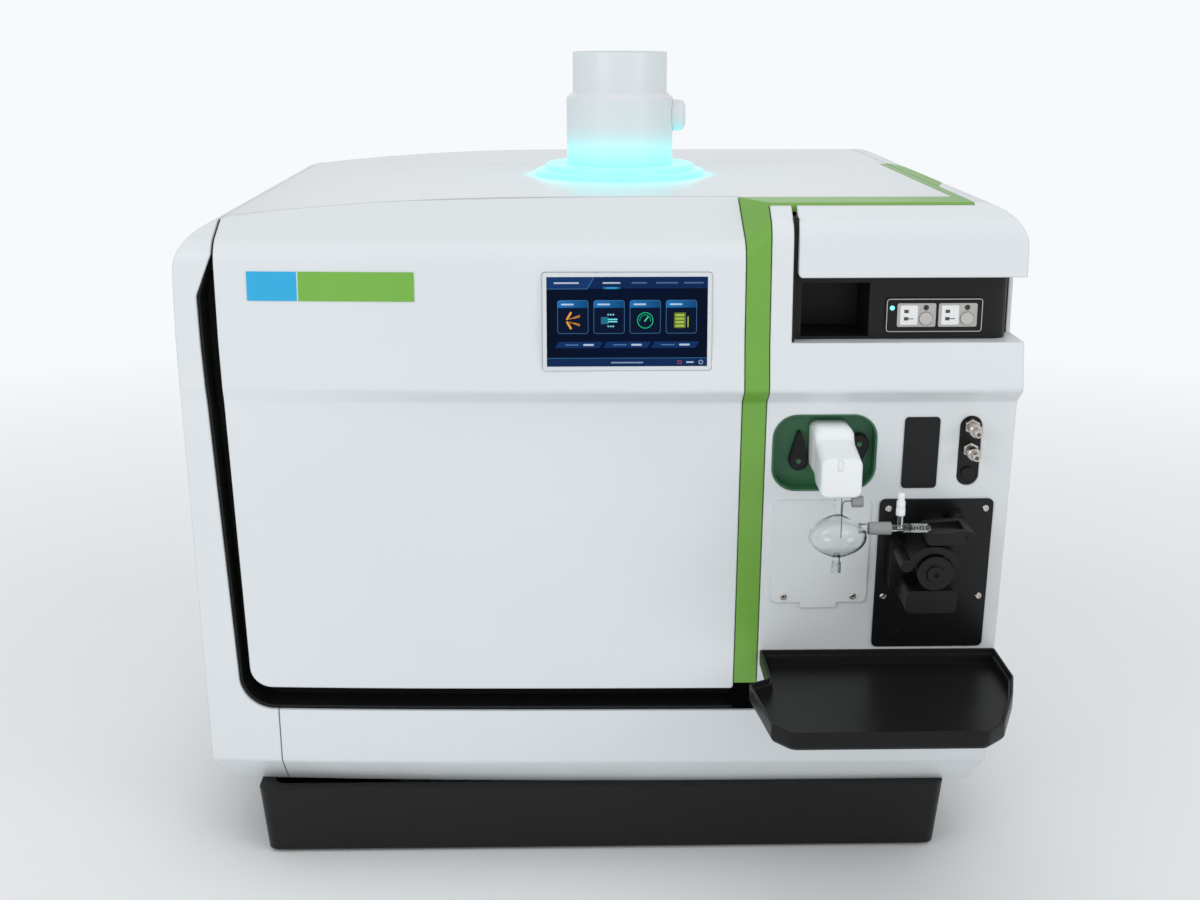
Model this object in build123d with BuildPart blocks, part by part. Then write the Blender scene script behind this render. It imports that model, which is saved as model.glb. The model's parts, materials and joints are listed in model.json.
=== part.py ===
from build123d import *
from math import asin, atan, cos, degrees, radians, sin
import os

# Benchtop plasma mass spectrometer, in millimetres.
# X runs to the right, Y to the back and Z up. The origin is on the bench, under the middle of the whole,
# from the front of the drip tray to the ends of the rear couplings.
# Depths written as "setback" are measured backwards from the most forward crease of the front.

os.makedirs("parts", exist_ok=True)

# ---------------------------------------------------------------- driving dimensions
body_width = 820.0
body_depth = 710.0
body_top = 702.0
body_bottom = 78.0
tuck_height = 113.0
tuck_in = 9.0
left_shoulder_radius = 50.0
right_shoulder_radius = 42.0
crown_start_x = -50.0
crown_radius = 2875.0
bow_start_x = 150.0
bow_sagitta = 24.0
wall = 4.0
seam = 1.0
tray_reach = 160.0
coupling_reach = 24.0
front_y = (tray_reach - body_depth - coupling_reach) / 2
back_y = front_y + body_depth
side_x = body_width / 2

# The stripe parts the wide door on the left from the sample inlet on the right.
stripe_left = 140.0
stripe_right = 164.0
stripe_bottom = 206.0
stripe_thickness = 6.0
band_front_setback = 45.0
band_back_setback = 98.0
band_end_x = 362.0
trim_width = 8.0
trim_end_setback = 474.0
grip_width = 25.0
grip_start_setback = 200.0

# Front section: heights of its corners, and how far each lies behind the crease.
crease_height = 525.0
under_crease_height = 511.0
block_top = 572.0
cover_bottom = 634.0
inlet_setback = 21.0
crease_setback = 2.0
block_setback = 11.0
tuck_setback = 48.0
bottom_setback = 75.0
section_ceiling = 720.0
section_floor = 60.0
section_back = back_y + 60.0
outline_overrun = 40.0

# Door and the finger groove round it.
door_depth = 32.0
door_liner_thickness = 2.0
door_bottom = 200.0
door_back_setback = 102.0
door_left_low = -362.0
door_left_high = -369.5
door_corner_radius = 22.0
door_gap = 3.5
groove_bottom = 174.0
groove_left_low = -374.0
groove_left_high = -388.0
groove_high = 615.0
groove_tip = 655.0
groove_corner_radius = 36.0
groove_depth = 38.0
side_seam_x = -336.0

# Door lift arms.
pivot_setback = 150.0
pivot_height = 660.0
pivot_pin_radius = 4.0
running_clearance = 0.05
arm_width = 16.0
arm_thickness = 8.0
arm_foot_setback = 44.0
arm_foot_height = 578.0
arm_places = (-240.0, 96.0)

# Touch screen, tilted with the front of the door.
screen_x = 26.5
screen_height = 593.0
screen_setback = 10.0
screen_tilt = 3.5
screen_width = 154.0
screen_tall = 86.0
screen_border = 4.0
screen_body = 12.0
glass_seat = 1.2

# Name plate, left bare.
plate_left = -338.0
plate_right = -177.0
plate_low = 611.5
plate_high = 639.5
plate_thickness = 0.8

# Plinth and feet.
plinth_left = -364.0
plinth_right = 373.0
plinth_taper = 6.0
plinth_front_setback = 62.0
plinth_back_setback = 690.0
plinth_bottom = 4.0
plinth_corner = 12.0
foot_radius = 24.0
foot_inset = 45.0
foot_height = 8.0
base_thickness = 3.0

# Exhaust stack.
stack_x = 30.0
stack_setback = 350.0
duct_radius = 53.0
duct_wall = 2.5
duct_top = 838.0
collar_radius = 60.0
neck_height = 788.0
collar_chamfer = 6.0
flange_radius = 85.0
flange_height = 13.0
ring_outer = 96.0
ring_height = 6.0
stub_radius = 17.5
stub_height = 768.0
stub_reach = 14.0

# Sample inlet items, as X and height on the sunken face.
port_left, port_right, port_low, port_high = 171.0, 275.0, 418.0, 498.0
port_radius = 25.0
port_depth = 16.0
port_wall = 2.0
mount_left, mount_right = 209.0, 248.0
mount_top = 489.0
mount_height = 56.0
mount_reach = 48.0
latch_radius = 9.7
latch_thickness = 9.0
latch_gap = 0.3
latch_left_pivot = (198.9, 447.0)
latch_right_pivot = (258.5, 464.5)
latch_left_length = 30.0
latch_right_length = 23.0
label_left, label_right, label_low, label_high = 301.0, 336.0, 421.0, 495.0
label_thickness = 1.2
gas_x = 367.0
gas_low, gas_high = 423.0, 496.0
gas_radius = 11.0
fitting_heights = (486.0, 462.0)
gas_plug_height = 436.0
access_left, access_right, access_low, access_high = 174.5, 273.0, 297.0, 409.0
access_tab = (205.0, 243.0, 291.0)
pump_left, pump_right, pump_low, pump_high = 281.0, 395.5, 247.0, 409.5
plate_radius = 6.0
plate_proud = 1.6
screw_radius = 3.6
screw_height = 1.8
access_screws = ((188.0, 304.0), (259.0, 304.0))
pump_screws = ((290.0, 399.5), (387.5, 399.5), (290.0, 304.0), (387.5, 304.0))

# Peristaltic pump head.
pump_x = 326.0
pump_height = 356.0
disc_radius = 17.5
disc_thickness = 4.0
shaft_radius = 4.0
roller_radius = 3.2
roller_circle = 12.6
roller_count = 8
head_reach = 22.0
roller_length = 34.0
shoe_inner = 18.6
shoe_outer = 26.0
shoe_clearance = 0.5
shoe_pivot = (299.0, 362.0)
lever_pivot = (357.0, 391.0)
pin_radius = 2.5

# Glassware, on a plane in front of the inlet.
glass_x = 227.5
glass_setback = -40.0
glass_wall = 1.2
chamber_radius = 28.0
chamber_drop = 40.0
chamber_half = 21.0
neck_radius = 3.8
tail_length = 36.5
nebuliser_rise = 7.5
glass_top = mount_top - mount_height
chamber_height = glass_top - chamber_drop
glass_bottom = chamber_height - tail_length
nebuliser_height = chamber_height + nebuliser_rise
sleeve_start, sleeve_end, sleeve_radius = 257.0, 279.0, 6.2
side_arm_radius = 5.0
side_arm_bore = 3.2
tee_x = 287.5
nebuliser_end = 317.0

# Recess with the buttons, and the pocket beside them.
recess_left = 185.0
recess_right = 396.0
recess_setback = 30.0
recess_wall = 2.5
pocket_left, pocket_right = 196.0, 262.0
pocket_low, pocket_high = 574.5, 627.0
pocket_setback = 95.0
cover_left = 190.5
side_front_setback = 62.0
bezel_left, bezel_right, bezel_low, bezel_high = 278.5, 372.0, 579.0, 611.5
bezel_proud = 3.0
pad_width, pad_height = 38.0, 23.5
pad_low = 583.8
pad_places = (307.8, 348.0)
button_radius = 6.2
button_offset_x = 9.0
button_height = 592.2
button_travel = 1.5
button_proud = 2.2
light_place = (284.0, 602.5)

# Drip tray.
tray_rim = 244.0
tray_depth = 18.0
tray_wall = 5.0
tray_floor = 3.0
tray_gap = 0.3

# Inside, seen with the door open.
bulkhead_setback = 190.0
bulkhead_thickness = 3.0
torch_height = 458.0
torch_setback = 130.0

inlet_slope = (tuck_setback - inlet_setback) / (under_crease_height - tuck_height)
inlet_tilt = degrees(atan(inlet_slope))


def bow(x):
    """How far the front lies back at x: an arc that leaves the straight right-hand part smoothly."""
    run = max(0.0, bow_start_x - x) / (bow_start_x + side_x)
    return bow_sagitta * run**2


def crease(x):
    """How sharp the crease is at x: full on the right, fading out towards the left side."""
    share = min(1.0, max(0.0, (x + side_x) / (side_x - 60)))
    return 0.08 + 0.92 * share**1.5


def front_points(x, shoulder_setback, shoulder_height, slope):
    """Corners of the side section at x, from the bottom front up and round to the bottom back."""
    start = front_y + bow(x)
    fade = crease(x)
    top_run = (section_ceiling - shoulder_height) / slope
    tuck_run = (bottom_setback - tuck_setback) * (tuck_height - section_floor) / (tuck_height - body_bottom)
    return [
        (start + tuck_setback + tuck_run, section_floor),
        (start + tuck_setback - 7 * (1 - fade), tuck_height),
        (start + inlet_setback - 7 * (1 - fade), under_crease_height),
        (start + crease_setback + 11 * (1 - fade), crease_height),
        (start + block_setback - (1 - fade), block_top),
        (start + shoulder_setback, shoulder_height),
        (start + shoulder_setback + top_run, section_ceiling),
        (section_back, section_ceiling),
        (section_back, section_floor),
    ]


def form(stations, radii=(0, 10, 5, 7, 12, 26, 0, 0, 0)):
    """Loft through side sections; each station is x, shoulder setback, shoulder height and top slope."""
    with BuildPart() as lofted:
        for x, shoulder_setback, shoulder_height, slope in stations:
            with BuildSketch(Plane.YZ.offset(x)):
                with BuildLine():
                    points = front_points(x, shoulder_setback, shoulder_height, slope)
                    FilletPolyline(*points, radius=radii, close=True)
                make_face()
        loft()
    return lofted.part


door_shoulder = (15.0, 663.0, 0.459)
right_shoulder = (17.0, 682.0, 0.643)
door_stations = [(x, *door_shoulder) for x in (-430.0, -290.0, -150.0, 0.0, stripe_left)]
middle_stations = [(stripe_left, *door_shoulder), (stripe_right, *right_shoulder)]
right_stations = [(x, *right_shoulder) for x in (stripe_right, 430.0)]

with BuildPart() as front_form:
    add(form(door_stations))
    add(form(middle_stations))
    add(form(right_stations))


def front_outline(inset):
    """Front view of the body: tucked sides, round shoulders and a crown that falls to the left."""
    left = -side_x + inset
    right = side_x - inset
    top = body_top - inset / 2
    crown_angle = degrees(asin((crown_start_x - left) / crown_radius))
    low = body_bottom - inset
    with BuildSketch(Plane.XZ.offset(-back_y)) as outline:
        with BuildLine():
            crown = CenterArc((crown_start_x, top - crown_radius), crown_radius, 90, crown_angle)
            left_side = [crown @ 1, (left, tuck_height), (left + tuck_in, low)]
            right_side = [(right - tuck_in, low), (right, tuck_height), (right, top), crown @ 0]
            Polyline(*left_side, *right_side)
        make_face()
        # Inside the sketch, y is the height.
        fillet(outline.vertices().group_by(Axis.X)[-1].sort_by(Axis.Y)[-1], right_shoulder_radius - inset)
        fillet(outline.vertices().group_by(Axis.X)[0].sort_by(Axis.Y)[-1], left_shoulder_radius - inset)
    return outline.sketch


def body_form(setback, inset):
    """The body's outside, moved back by setback and narrowed at the sides and top by inset."""
    with BuildPart() as body:
        extrude(front_outline(inset), amount=body_depth + outline_overrun)
        add(front_form.part.moved(Location((0, setback, -setback / 2))), mode=Mode.INTERSECT)
    return body.part


def front_prism(corners, radii, near, far):
    """A prism on a front view outline, from one setback to another."""
    with BuildPart() as prism:
        with BuildSketch(Plane.XZ.offset(-(front_y + near))):
            with BuildLine():
                FilletPolyline(*corners, radius=radii, close=True)
            make_face()
        extrude(amount=-(far - near))
    return prism.part


def block(x0, x1, near, far, z0, z1):
    """A plain block between two x, two setbacks and two heights."""
    size = (x1 - x0, far - near, z1 - z0)
    middle = ((x0 + x1) / 2, front_y + (near + far) / 2, (z0 + z1) / 2)
    return Pos(*middle) * Box(*size, mode=Mode.PRIVATE)


def save(piece, name):
    """Label a finished piece and write it."""
    piece.label = name
    export_step(piece, f"parts/{name}.step")


outside = body_form(0, 0)
inside = body_form(wall, wall)
rear_plate = 4.0
shell_end = body_depth - rear_plate

# ---------------------------------------------------------------- base
base_left = -side_x + tuck_in + wall
base_right = side_x - tuck_in - wall
with BuildPart() as base_pan:
    base_flange = 18.0
    base_front = bottom_setback + 30
    base_back = shell_end - 4
    pan_left = base_left + 6
    pan_right = base_right - 6
    add(block(pan_left, pan_right, base_front, base_back, body_bottom, body_bottom + base_flange))
    pocket_sides = (pan_left + base_thickness, pan_right - base_thickness)
    pocket_ends = (base_front + base_thickness, base_back - base_thickness)
    pocket = block(*pocket_sides, *pocket_ends, body_bottom + base_thickness, body_bottom + base_flange + 1)
    add(pocket, mode=Mode.SUBTRACT)
save(base_pan.part, "base_pan")

with BuildPart() as plinth:
    plinth_middle_x = (plinth_left + plinth_right) / 2
    plinth_middle_y = front_y + (plinth_front_setback + plinth_back_setback) / 2
    plinth_width = plinth_right - plinth_left
    plinth_length = plinth_back_setback - plinth_front_setback
    with BuildSketch(Plane((plinth_middle_x, plinth_middle_y, plinth_bottom))):
        RectangleRounded(plinth_width - 2 * plinth_taper, plinth_length - 2 * plinth_taper, plinth_corner)
    with BuildSketch(Plane((plinth_middle_x, plinth_middle_y, body_bottom))):
        RectangleRounded(plinth_width, plinth_length, plinth_corner)
    loft()
    with BuildSketch(Plane((plinth_middle_x, plinth_middle_y, foot_height))):
        RectangleRounded(plinth_width - 30, plinth_length - 30, plinth_corner)
    extrude(amount=body_bottom, mode=Mode.SUBTRACT)
    with BuildSketch(Plane((plinth_middle_x, plinth_middle_y, plinth_bottom))):
        Rectangle(plinth_width - 240, plinth_length - 240)
    extrude(amount=foot_height, mode=Mode.SUBTRACT)
save(plinth.part, "plinth")

foot_spacing_x = plinth_width - 2 * foot_inset
foot_spacing_y = plinth_length - 2 * foot_inset
with BuildPart() as levelling_feet:
    with BuildSketch(Plane((plinth_middle_x, plinth_middle_y, 0))):
        with GridLocations(foot_spacing_x, foot_spacing_y, 2, 2):
            Circle(foot_radius)
    extrude(amount=plinth_bottom)
save(levelling_feet.part, "levelling_feet")

# ---------------------------------------------------------------- outer panels
top_seam_x = -372.0
groove_outline = [
    (groove_left_low, groove_bottom),
    (groove_left_high, groove_high),
    (top_seam_x, groove_tip),
    (top_seam_x, section_ceiling),
]
left_region = [
    (-side_x - 5, 70),
    (side_seam_x, 70),
    (side_seam_x, groove_bottom),
    *groove_outline,
    (-side_x - 5, section_ceiling),
]
left_radii = (0, 0, 0, groove_corner_radius, 12, 0, 0, 0)
with BuildPart() as left_side_panel:
    add(outside)
    add(inside, mode=Mode.SUBTRACT)
    add(front_prism(left_region, left_radii, -5, shell_end), mode=Mode.INTERSECT)
save(left_side_panel.part, "left_side_panel")

with BuildPart() as lower_front_panel:
    add(outside)
    add(inside, mode=Mode.SUBTRACT)
    low_left = side_seam_x + seam
    low_right = side_x + 5
    lower_corners = [(low_left, 70), (low_right, 70), (low_right, groove_bottom), (low_left, groove_bottom)]
    add(front_prism(lower_corners, (0, 0, 0, 0), -5, side_front_setback + 48), mode=Mode.INTERSECT)
save(lower_front_panel.part, "lower_front_panel")

side_low_setback = side_front_setback + 48
with BuildPart() as grip_prism:
    grip_middle = (grip_start_setback + trim_end_setback + 14) / 2
    grip_half = trim_end_setback + 14 - grip_middle
    with BuildSketch(Plane((band_end_x + seam, front_y + grip_middle, 600))):
        with BuildLine():
            ThreePointArc((0, -grip_half), (grip_width, 0), (0, grip_half))
            Line((0, grip_half), (0, -grip_half))
        make_face()
    extrude(amount=section_ceiling - 600)

with BuildPart() as right_side_panel:
    add(outside)
    add(inside, mode=Mode.SUBTRACT)
    side_left = band_end_x + seam
    side_region = block(side_left, side_x + 5, side_front_setback + seam, shell_end, 70, section_ceiling)
    add(side_region, mode=Mode.INTERSECT)
    low_corner = block(0, side_x + 5, side_front_setback, side_low_setback + seam, 70, groove_bottom + seam)
    add(low_corner, mode=Mode.SUBTRACT)
    add(grip_prism.part, mode=Mode.SUBTRACT)
save(right_side_panel.part, "right_side_panel")

with BuildPart() as shoulder_grip_pad:
    add(outside)
    add(inside, mode=Mode.SUBTRACT)
    add(grip_prism.part, mode=Mode.INTERSECT)
save(shoulder_grip_pad.part, "shoulder_grip_pad")

top_front_setback = door_back_setback + door_gap
top_split_setback = 500.0
top_left = top_seam_x + seam
with BuildPart() as top_panel:
    add(outside)
    add(inside, mode=Mode.SUBTRACT)
    wide = block(top_left, band_end_x, top_front_setback, top_split_setback, 600, section_ceiling)
    beside_start = band_back_setback + seam
    beside = block(stripe_left, band_end_x, beside_start, top_front_setback + 1, 600, section_ceiling)
    add(wide + beside, mode=Mode.INTERSECT)
    trim_left = band_end_x - trim_width
    slot_end = trim_end_setback + seam
    trim_slot = block(trim_left - seam, side_x, band_back_setback, slot_end, 600, section_ceiling)
    add(trim_slot, mode=Mode.SUBTRACT)
    with BuildSketch(Plane((stack_x, front_y + stack_setback, 600))):
        Circle(duct_radius - duct_wall)
    extrude(amount=section_ceiling - 600, mode=Mode.SUBTRACT)
save(top_panel.part, "top_panel")

with BuildPart() as rear_top_panel:
    add(outside)
    add(inside, mode=Mode.SUBTRACT)
    rear_start = top_split_setback + seam
    add(block(top_left, band_end_x, rear_start, shell_end, 600, section_ceiling), mode=Mode.INTERSECT)
save(rear_top_panel.part, "rear_top_panel")

# ---------------------------------------------------------------- rear panel and its fittings
vent_slot = (70.0, 5.0)
vent_rows = 14
vent_pitch = 12.0
vent_heights = (540.0, 200.0)
vent_columns = ((-250.0, -150.0, 180.0, 280.0), (-250.0, -150.0))
power_place = (310.0, 165.0)
switch_place = (310.0, 225.0)
switch_size = (30.0, 22.0)
inlet_size = (48.0, 28.0)
with BuildPart() as rear_panel:
    extrude(front_outline(0), amount=rear_plate)
    rear_face = Plane((0, back_y, 0), x_dir=(-1, 0, 0), z_dir=(0, 1, 0))
    with BuildSketch(rear_face):
        for place_z, columns in zip(vent_heights, vent_columns):
            for place_x in columns:
                with Locations((-place_x, place_z)):
                    with GridLocations(0, vent_pitch, 1, vent_rows):
                        SlotOverall(*vent_slot)
        with Locations((-switch_place[0], switch_place[1])):
            RectangleRounded(*switch_size, 2)
        with Locations((-power_place[0], power_place[1])):
            RectangleRounded(*inlet_size, 4)
    extrude(amount=-rear_plate, mode=Mode.SUBTRACT)
save(rear_panel.part, "rear_panel")

switch_depth = 14.0
with BuildPart() as power_entry:
    with BuildSketch(rear_face):
        with Locations((-power_place[0], power_place[1])):
            RectangleRounded(inlet_size[0] - 0.6, inlet_size[1] - 0.6, 4)
    extrude(amount=-30)
    with BuildSketch(rear_face):
        with Locations((-power_place[0], power_place[1])):
            RectangleRounded(inlet_size[0] - 10, inlet_size[1] - 8, 3)
    extrude(amount=-22, mode=Mode.SUBTRACT)
    with BuildSketch(rear_face.offset(-22)):
        with Locations((-power_place[0], power_place[1])):
            with GridLocations(11, 0, 3, 1):
                Rectangle(2.5, 8)
    extrude(amount=16)
    with BuildSketch(rear_face.offset(1.5)):
        with Locations((-switch_place[0], switch_place[1])):
            RectangleRounded(switch_size[0] + 6, switch_size[1] + 6, 3)
            Rectangle(switch_size[0] - 4, switch_size[1] - 4, mode=Mode.SUBTRACT)
    extrude(amount=-1.5)
    with BuildSketch(rear_face):
        with Locations((-switch_place[0], switch_place[1])):
            RectangleRounded(switch_size[0] - 0.2, switch_size[1] - 0.2, 2)
            Rectangle(switch_size[0] - 4, switch_size[1] - 4, mode=Mode.SUBTRACT)
    extrude(amount=-switch_depth)
save(power_entry.part, "power_entry")

# The rocker stands tilted with its lower end pressed in, and turns about the middle of its depth.
rocker_tilt = radians(8)
rocker_inset = 2.6
rocker_axis_depth = 7.0
rocker_left = switch_place[0] - switch_size[0] / 2 + rocker_inset
rocker_plane = Plane(
    (rocker_left, back_y - rocker_axis_depth, switch_place[1]),
    x_dir=(0, cos(rocker_tilt), sin(rocker_tilt)),
    z_dir=(1, 0, 0),
)
with BuildPart() as power_switch:
    with BuildSketch(rocker_plane):
        with BuildLine():
            Polyline((-3, -6.5), (6.5, -7.6), (5.0, 0), (6.5, 7.6), (-3, 6.5), (-3, -6.5))
        make_face()
    extrude(amount=switch_size[0] - 2 * rocker_inset)
save(power_switch.part, "power_switch")

# Each coupling: x, height, and the radii of its flange, spigot and bore.
coolant_in = (-330.0, 150.0, 11.0, 8.0, 5.0)
coolant_out = (-330.0, 200.0, 11.0, 8.0, 5.0)
gas_supply = (-330.0, 260.0, 7.0, 5.0, 3.0)
vacuum_port = (0.0, 190.0, 26.0, 19.0, 12.0)
coupling_flange = 6.0
coupling_bore_depth = 20.0
with BuildPart() as rear_couplings:
    for place_x, place_z, flange_r, spigot_r, bore_r in (coolant_in, coolant_out, gas_supply, vacuum_port):
        with BuildSketch(rear_face):
            with Locations((-place_x, place_z)):
                Circle(flange_r)
        extrude(amount=coupling_flange)
        with BuildSketch(rear_face.offset(coupling_flange)):
            with Locations((-place_x, place_z)):
                Circle(spigot_r)
        extrude(amount=coupling_reach - coupling_flange)
        with BuildSketch(rear_face.offset(coupling_reach)):
            with Locations((-place_x, place_z)):
                Circle(bore_r)
        extrude(amount=-coupling_bore_depth, mode=Mode.SUBTRACT)
save(rear_couplings.part, "rear_couplings")

# ---------------------------------------------------------------- stripe
with BuildPart() as green_stripe:
    add(outside)
    add(body_form(stripe_thickness, stripe_thickness), mode=Mode.SUBTRACT)
    left_edge = stripe_left + seam / 2
    right_edge = stripe_right - seam / 2
    band_floor = body_top - 12
    upright = block(left_edge, right_edge, -5, band_back_setback, stripe_bottom, section_ceiling)
    band = block(left_edge, band_end_x, band_front_setback, band_back_setback, band_floor, section_ceiling)
    trim = block(trim_left, band_end_x, band_front_setback, trim_end_setback, band_floor, section_ceiling)
    add(upright + band + trim, mode=Mode.INTERSECT)
save(green_stripe.part, "green_stripe")

# ---------------------------------------------------------------- front door
door_right = stripe_left - seam / 2
door_outline = [
    (door_left_low, door_bottom),
    (door_left_high, 640),
    (door_left_high, section_ceiling),
    (door_right, section_ceiling),
    (door_right, door_bottom),
]
door_rim = 5.0
door_inner_top = 646.0
door_inner = [
    (door_left_low + door_rim, door_bottom + door_rim),
    (door_left_high + door_rim, 640),
    (door_left_high + door_rim, door_inner_top),
    (door_right - door_rim, door_inner_top),
    (door_right - door_rim, door_bottom + door_rim),
]
door_prism = front_prism(door_outline, (door_corner_radius, 0, 0, 0, 3), -5, door_back_setback)
inner_prism = front_prism(door_inner, (door_corner_radius - door_rim, 0, 0, 0, 0), -5, door_back_setback)
deep = body_form(door_depth, 0)
liner_front = body_form(door_depth - door_liner_thickness, 0)
screen_plane = Plane(
    (screen_x, front_y + screen_setback + bow(screen_x), screen_height),
    x_dir=(1, 0, 0),
    z_dir=(0, -cos(radians(screen_tilt)), sin(radians(screen_tilt))),
)
bezel_width = screen_width + 2 * screen_border
bezel_tall = screen_tall + 2 * screen_border
with BuildPart() as front_door:
    add(outside)
    add(deep, mode=Mode.SUBTRACT)
    add(door_prism, mode=Mode.INTERSECT)
    add(inner_prism & inside, mode=Mode.SUBTRACT)
    upper_corners = [(-side_x, door_inner_top), (side_x, door_inner_top), (side_x, 730), (-side_x, 730)]
    upper = front_prism(upper_corners, 0, -5, 150)
    add(upper & inside, mode=Mode.SUBTRACT)
    with BuildSketch(screen_plane):
        RectangleRounded(bezel_width + 0.4, bezel_tall + 0.4, 3)
    extrude(amount=-screen_body, both=True, mode=Mode.SUBTRACT)
save(front_door.part, "front_door")

with BuildPart() as door_liner:
    add(liner_front)
    add(deep, mode=Mode.SUBTRACT)
    add(inner_prism, mode=Mode.INTERSECT)
save(door_liner.part, "door_liner")

with BuildPart() as screen_bezel:
    with BuildSketch(screen_plane.offset(-glass_seat)):
        RectangleRounded(bezel_width, bezel_tall, 3)
    extrude(amount=-(screen_body - 2 * glass_seat))
    with BuildSketch(screen_plane.offset(-glass_seat)):
        RectangleRounded(bezel_width, bezel_tall, 3)
        Rectangle(screen_width, screen_tall, mode=Mode.SUBTRACT)
    extrude(amount=2 * glass_seat)
save(screen_bezel.part, "screen_bezel")

with BuildPart() as screen_glass:
    with BuildSketch(screen_plane.offset(-glass_seat)):
        Rectangle(screen_width - 0.4, screen_tall - 0.4)
    extrude(amount=1.9)
save(screen_glass.part, "screen_glass")

with BuildPart() as nameplate:
    add(outside.moved(Location((0, -plate_thickness, 0))))
    add(outside, mode=Mode.SUBTRACT)
    add(block(plate_left, plate_right, -20, 60, plate_low, plate_high), mode=Mode.INTERSECT)
save(nameplate.part, "nameplate")

# Lift arms turn on pins in brackets fixed to the bulkhead.
with BuildPart() as door_hinge_arms:
    for arm_x in arm_places:
        with BuildSketch(Plane.YZ.offset(arm_x)):
            with Locations((front_y + pivot_setback, pivot_height)):
                Circle(arm_width / 2)
            with Locations((front_y + arm_foot_setback, arm_foot_height)):
                Circle(arm_width / 2)
            make_hull()
            with Locations((front_y + pivot_setback, pivot_height)):
                Circle(pivot_pin_radius + running_clearance, mode=Mode.SUBTRACT)
        extrude(amount=arm_thickness)
    add(deep, mode=Mode.INTERSECT)
save(door_hinge_arms.part, "door_hinge_arms")

bracket_thickness = 6.0
bracket_gap = 0.5
pin_head = 3.0

# ---------------------------------------------------------------- groove liner behind the finger gap
liner_wall = 2.5
liner_lap = 12.0
groove_right = door_right
liner_outer = [
    (groove_left_low + 0.4, groove_bottom + seam),
    (groove_left_high + 0.4, groove_high),
    (top_seam_x + 0.2, groove_tip - 4),
    (door_left_high + liner_lap, groove_tip - 4),
    (door_left_low + liner_lap, door_bottom + liner_lap + 10),
    (door_left_low + liner_lap + 10, door_bottom + liner_lap),
    (groove_right, door_bottom + liner_lap),
    (groove_right, groove_bottom + seam),
]
liner_hollow = [
    (groove_left_low + 0.4 + liner_wall, groove_bottom + seam + liner_wall),
    (groove_left_high + 0.4 + liner_wall, groove_high),
    (top_seam_x + 0.2 + liner_wall, groove_tip + 10),
    (groove_right + 10, groove_tip + 10),
    (groove_right + 10, groove_bottom + seam + liner_wall),
]
with BuildPart() as groove_liner:
    add(body_form(wall, 0))
    add(body_form(groove_depth + liner_wall, 0), mode=Mode.SUBTRACT)
    add(front_prism(liner_outer, (groove_corner_radius, 0, 0, 0, 0, 0, 0, 0), -5, 150), mode=Mode.INTERSECT)
    hollow = front_prism(liner_hollow, (groove_corner_radius - liner_wall, 0, 0, 0, 0), -10, 160)
    add(hollow - body_form(groove_depth, 0), mode=Mode.SUBTRACT)
save(groove_liner.part, "groove_liner")

# ---------------------------------------------------------------- sample inlet fascia
fascia_wall = 5.0
fascia_left = stripe_right + seam / 2


def face_setback(height):
    """Setback of the sunken inlet face at a height."""
    return inlet_setback + (under_crease_height - height) * inlet_slope


def inlet_plane(x, height, out=0.0):
    """Plane on the sunken face: x to the right, y up the face, z out of it."""
    origin = (x, front_y + face_setback(height), height)
    tilt = radians(inlet_tilt)
    return Plane(origin, x_dir=(1, 0, 0), z_dir=(0, -cos(tilt), -sin(tilt))).offset(out)


def inlet_box(left, right, low, high):
    """Middle, width and height on the sunken face of a rectangle given by x and height."""
    return (left + right) / 2, (low + high) / 2, right - left, (high - low) / cos(radians(inlet_tilt))


def inlet_plate(box, corner, out, depth, trim=0.0):
    """A plate with round corners that lies on the sunken face."""
    x, height, width, tall = inlet_box(*box)
    with BuildPart() as plate:
        with BuildSketch(inlet_plane(x, height, out)):
            RectangleRounded(width - 2 * trim, tall - 2 * trim, corner)
        extrude(amount=-depth)
    return plate.part


port_box = (port_left, port_right, port_low, port_high)
gas_box = (gas_x - gas_radius, gas_x + gas_radius, gas_low, gas_high)
access_box = (access_left, access_right, access_low, access_high)
pump_box = (pump_left, pump_right, pump_low, pump_high)
label_box = (label_left, label_right, label_low, label_high)
fascia_top = block_top - 0.5
strip_end = recess_left
fascia_corners = [
    (fascia_left, groove_bottom + seam),
    (side_x + 5, groove_bottom + seam),
    (side_x + 5, fascia_top),
    (strip_end, fascia_top),
    (strip_end, section_ceiling),
    (fascia_left, section_ceiling),
]
fascia_hollow = [
    (fascia_left + fascia_wall, groove_bottom + seam - 1),
    (side_x - fascia_wall, groove_bottom + seam - 1),
    (side_x - fascia_wall, fascia_top - fascia_wall),
    (strip_end - fascia_wall, fascia_top - fascia_wall),
    (strip_end - fascia_wall, 694),
    (fascia_left + fascia_wall, 694),
]
fascia_core = body_form(fascia_wall, fascia_wall)
with BuildPart() as right_fascia:
    add(outside)
    add(front_prism(fascia_corners, (0, 0, 3, 0, 0, 0), -5, side_front_setback), mode=Mode.INTERSECT)
    add(front_prism(fascia_hollow, 0, -5, 160) & fascia_core, mode=Mode.SUBTRACT)
    add(block(0, strip_end + 1, band_front_setback - seam / 2, 80, 692, section_ceiling), mode=Mode.SUBTRACT)
    add(inlet_plate(port_box, port_radius, 5, 40), mode=Mode.SUBTRACT)
    add(inlet_plate(gas_box, gas_radius - 0.01, 5, 40), mode=Mode.SUBTRACT)
save(right_fascia.part, "right_fascia")

with BuildPart() as port_plate:
    add(inlet_plate(port_box, port_radius - 0.3, -0.5, port_depth + port_wall - 0.5, 0.3))
    add(inlet_plate(port_box, port_radius - port_wall, 1, port_depth + 1, port_wall), mode=Mode.SUBTRACT)
    for pivot_x, pivot_z in (latch_left_pivot, latch_right_pivot):
        with BuildSketch(inlet_plane(pivot_x, pivot_z, -port_depth)):
            Circle(pin_radius)
        extrude(amount=latch_thickness + 0.5)
save(port_plate.part, "port_plate")

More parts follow.
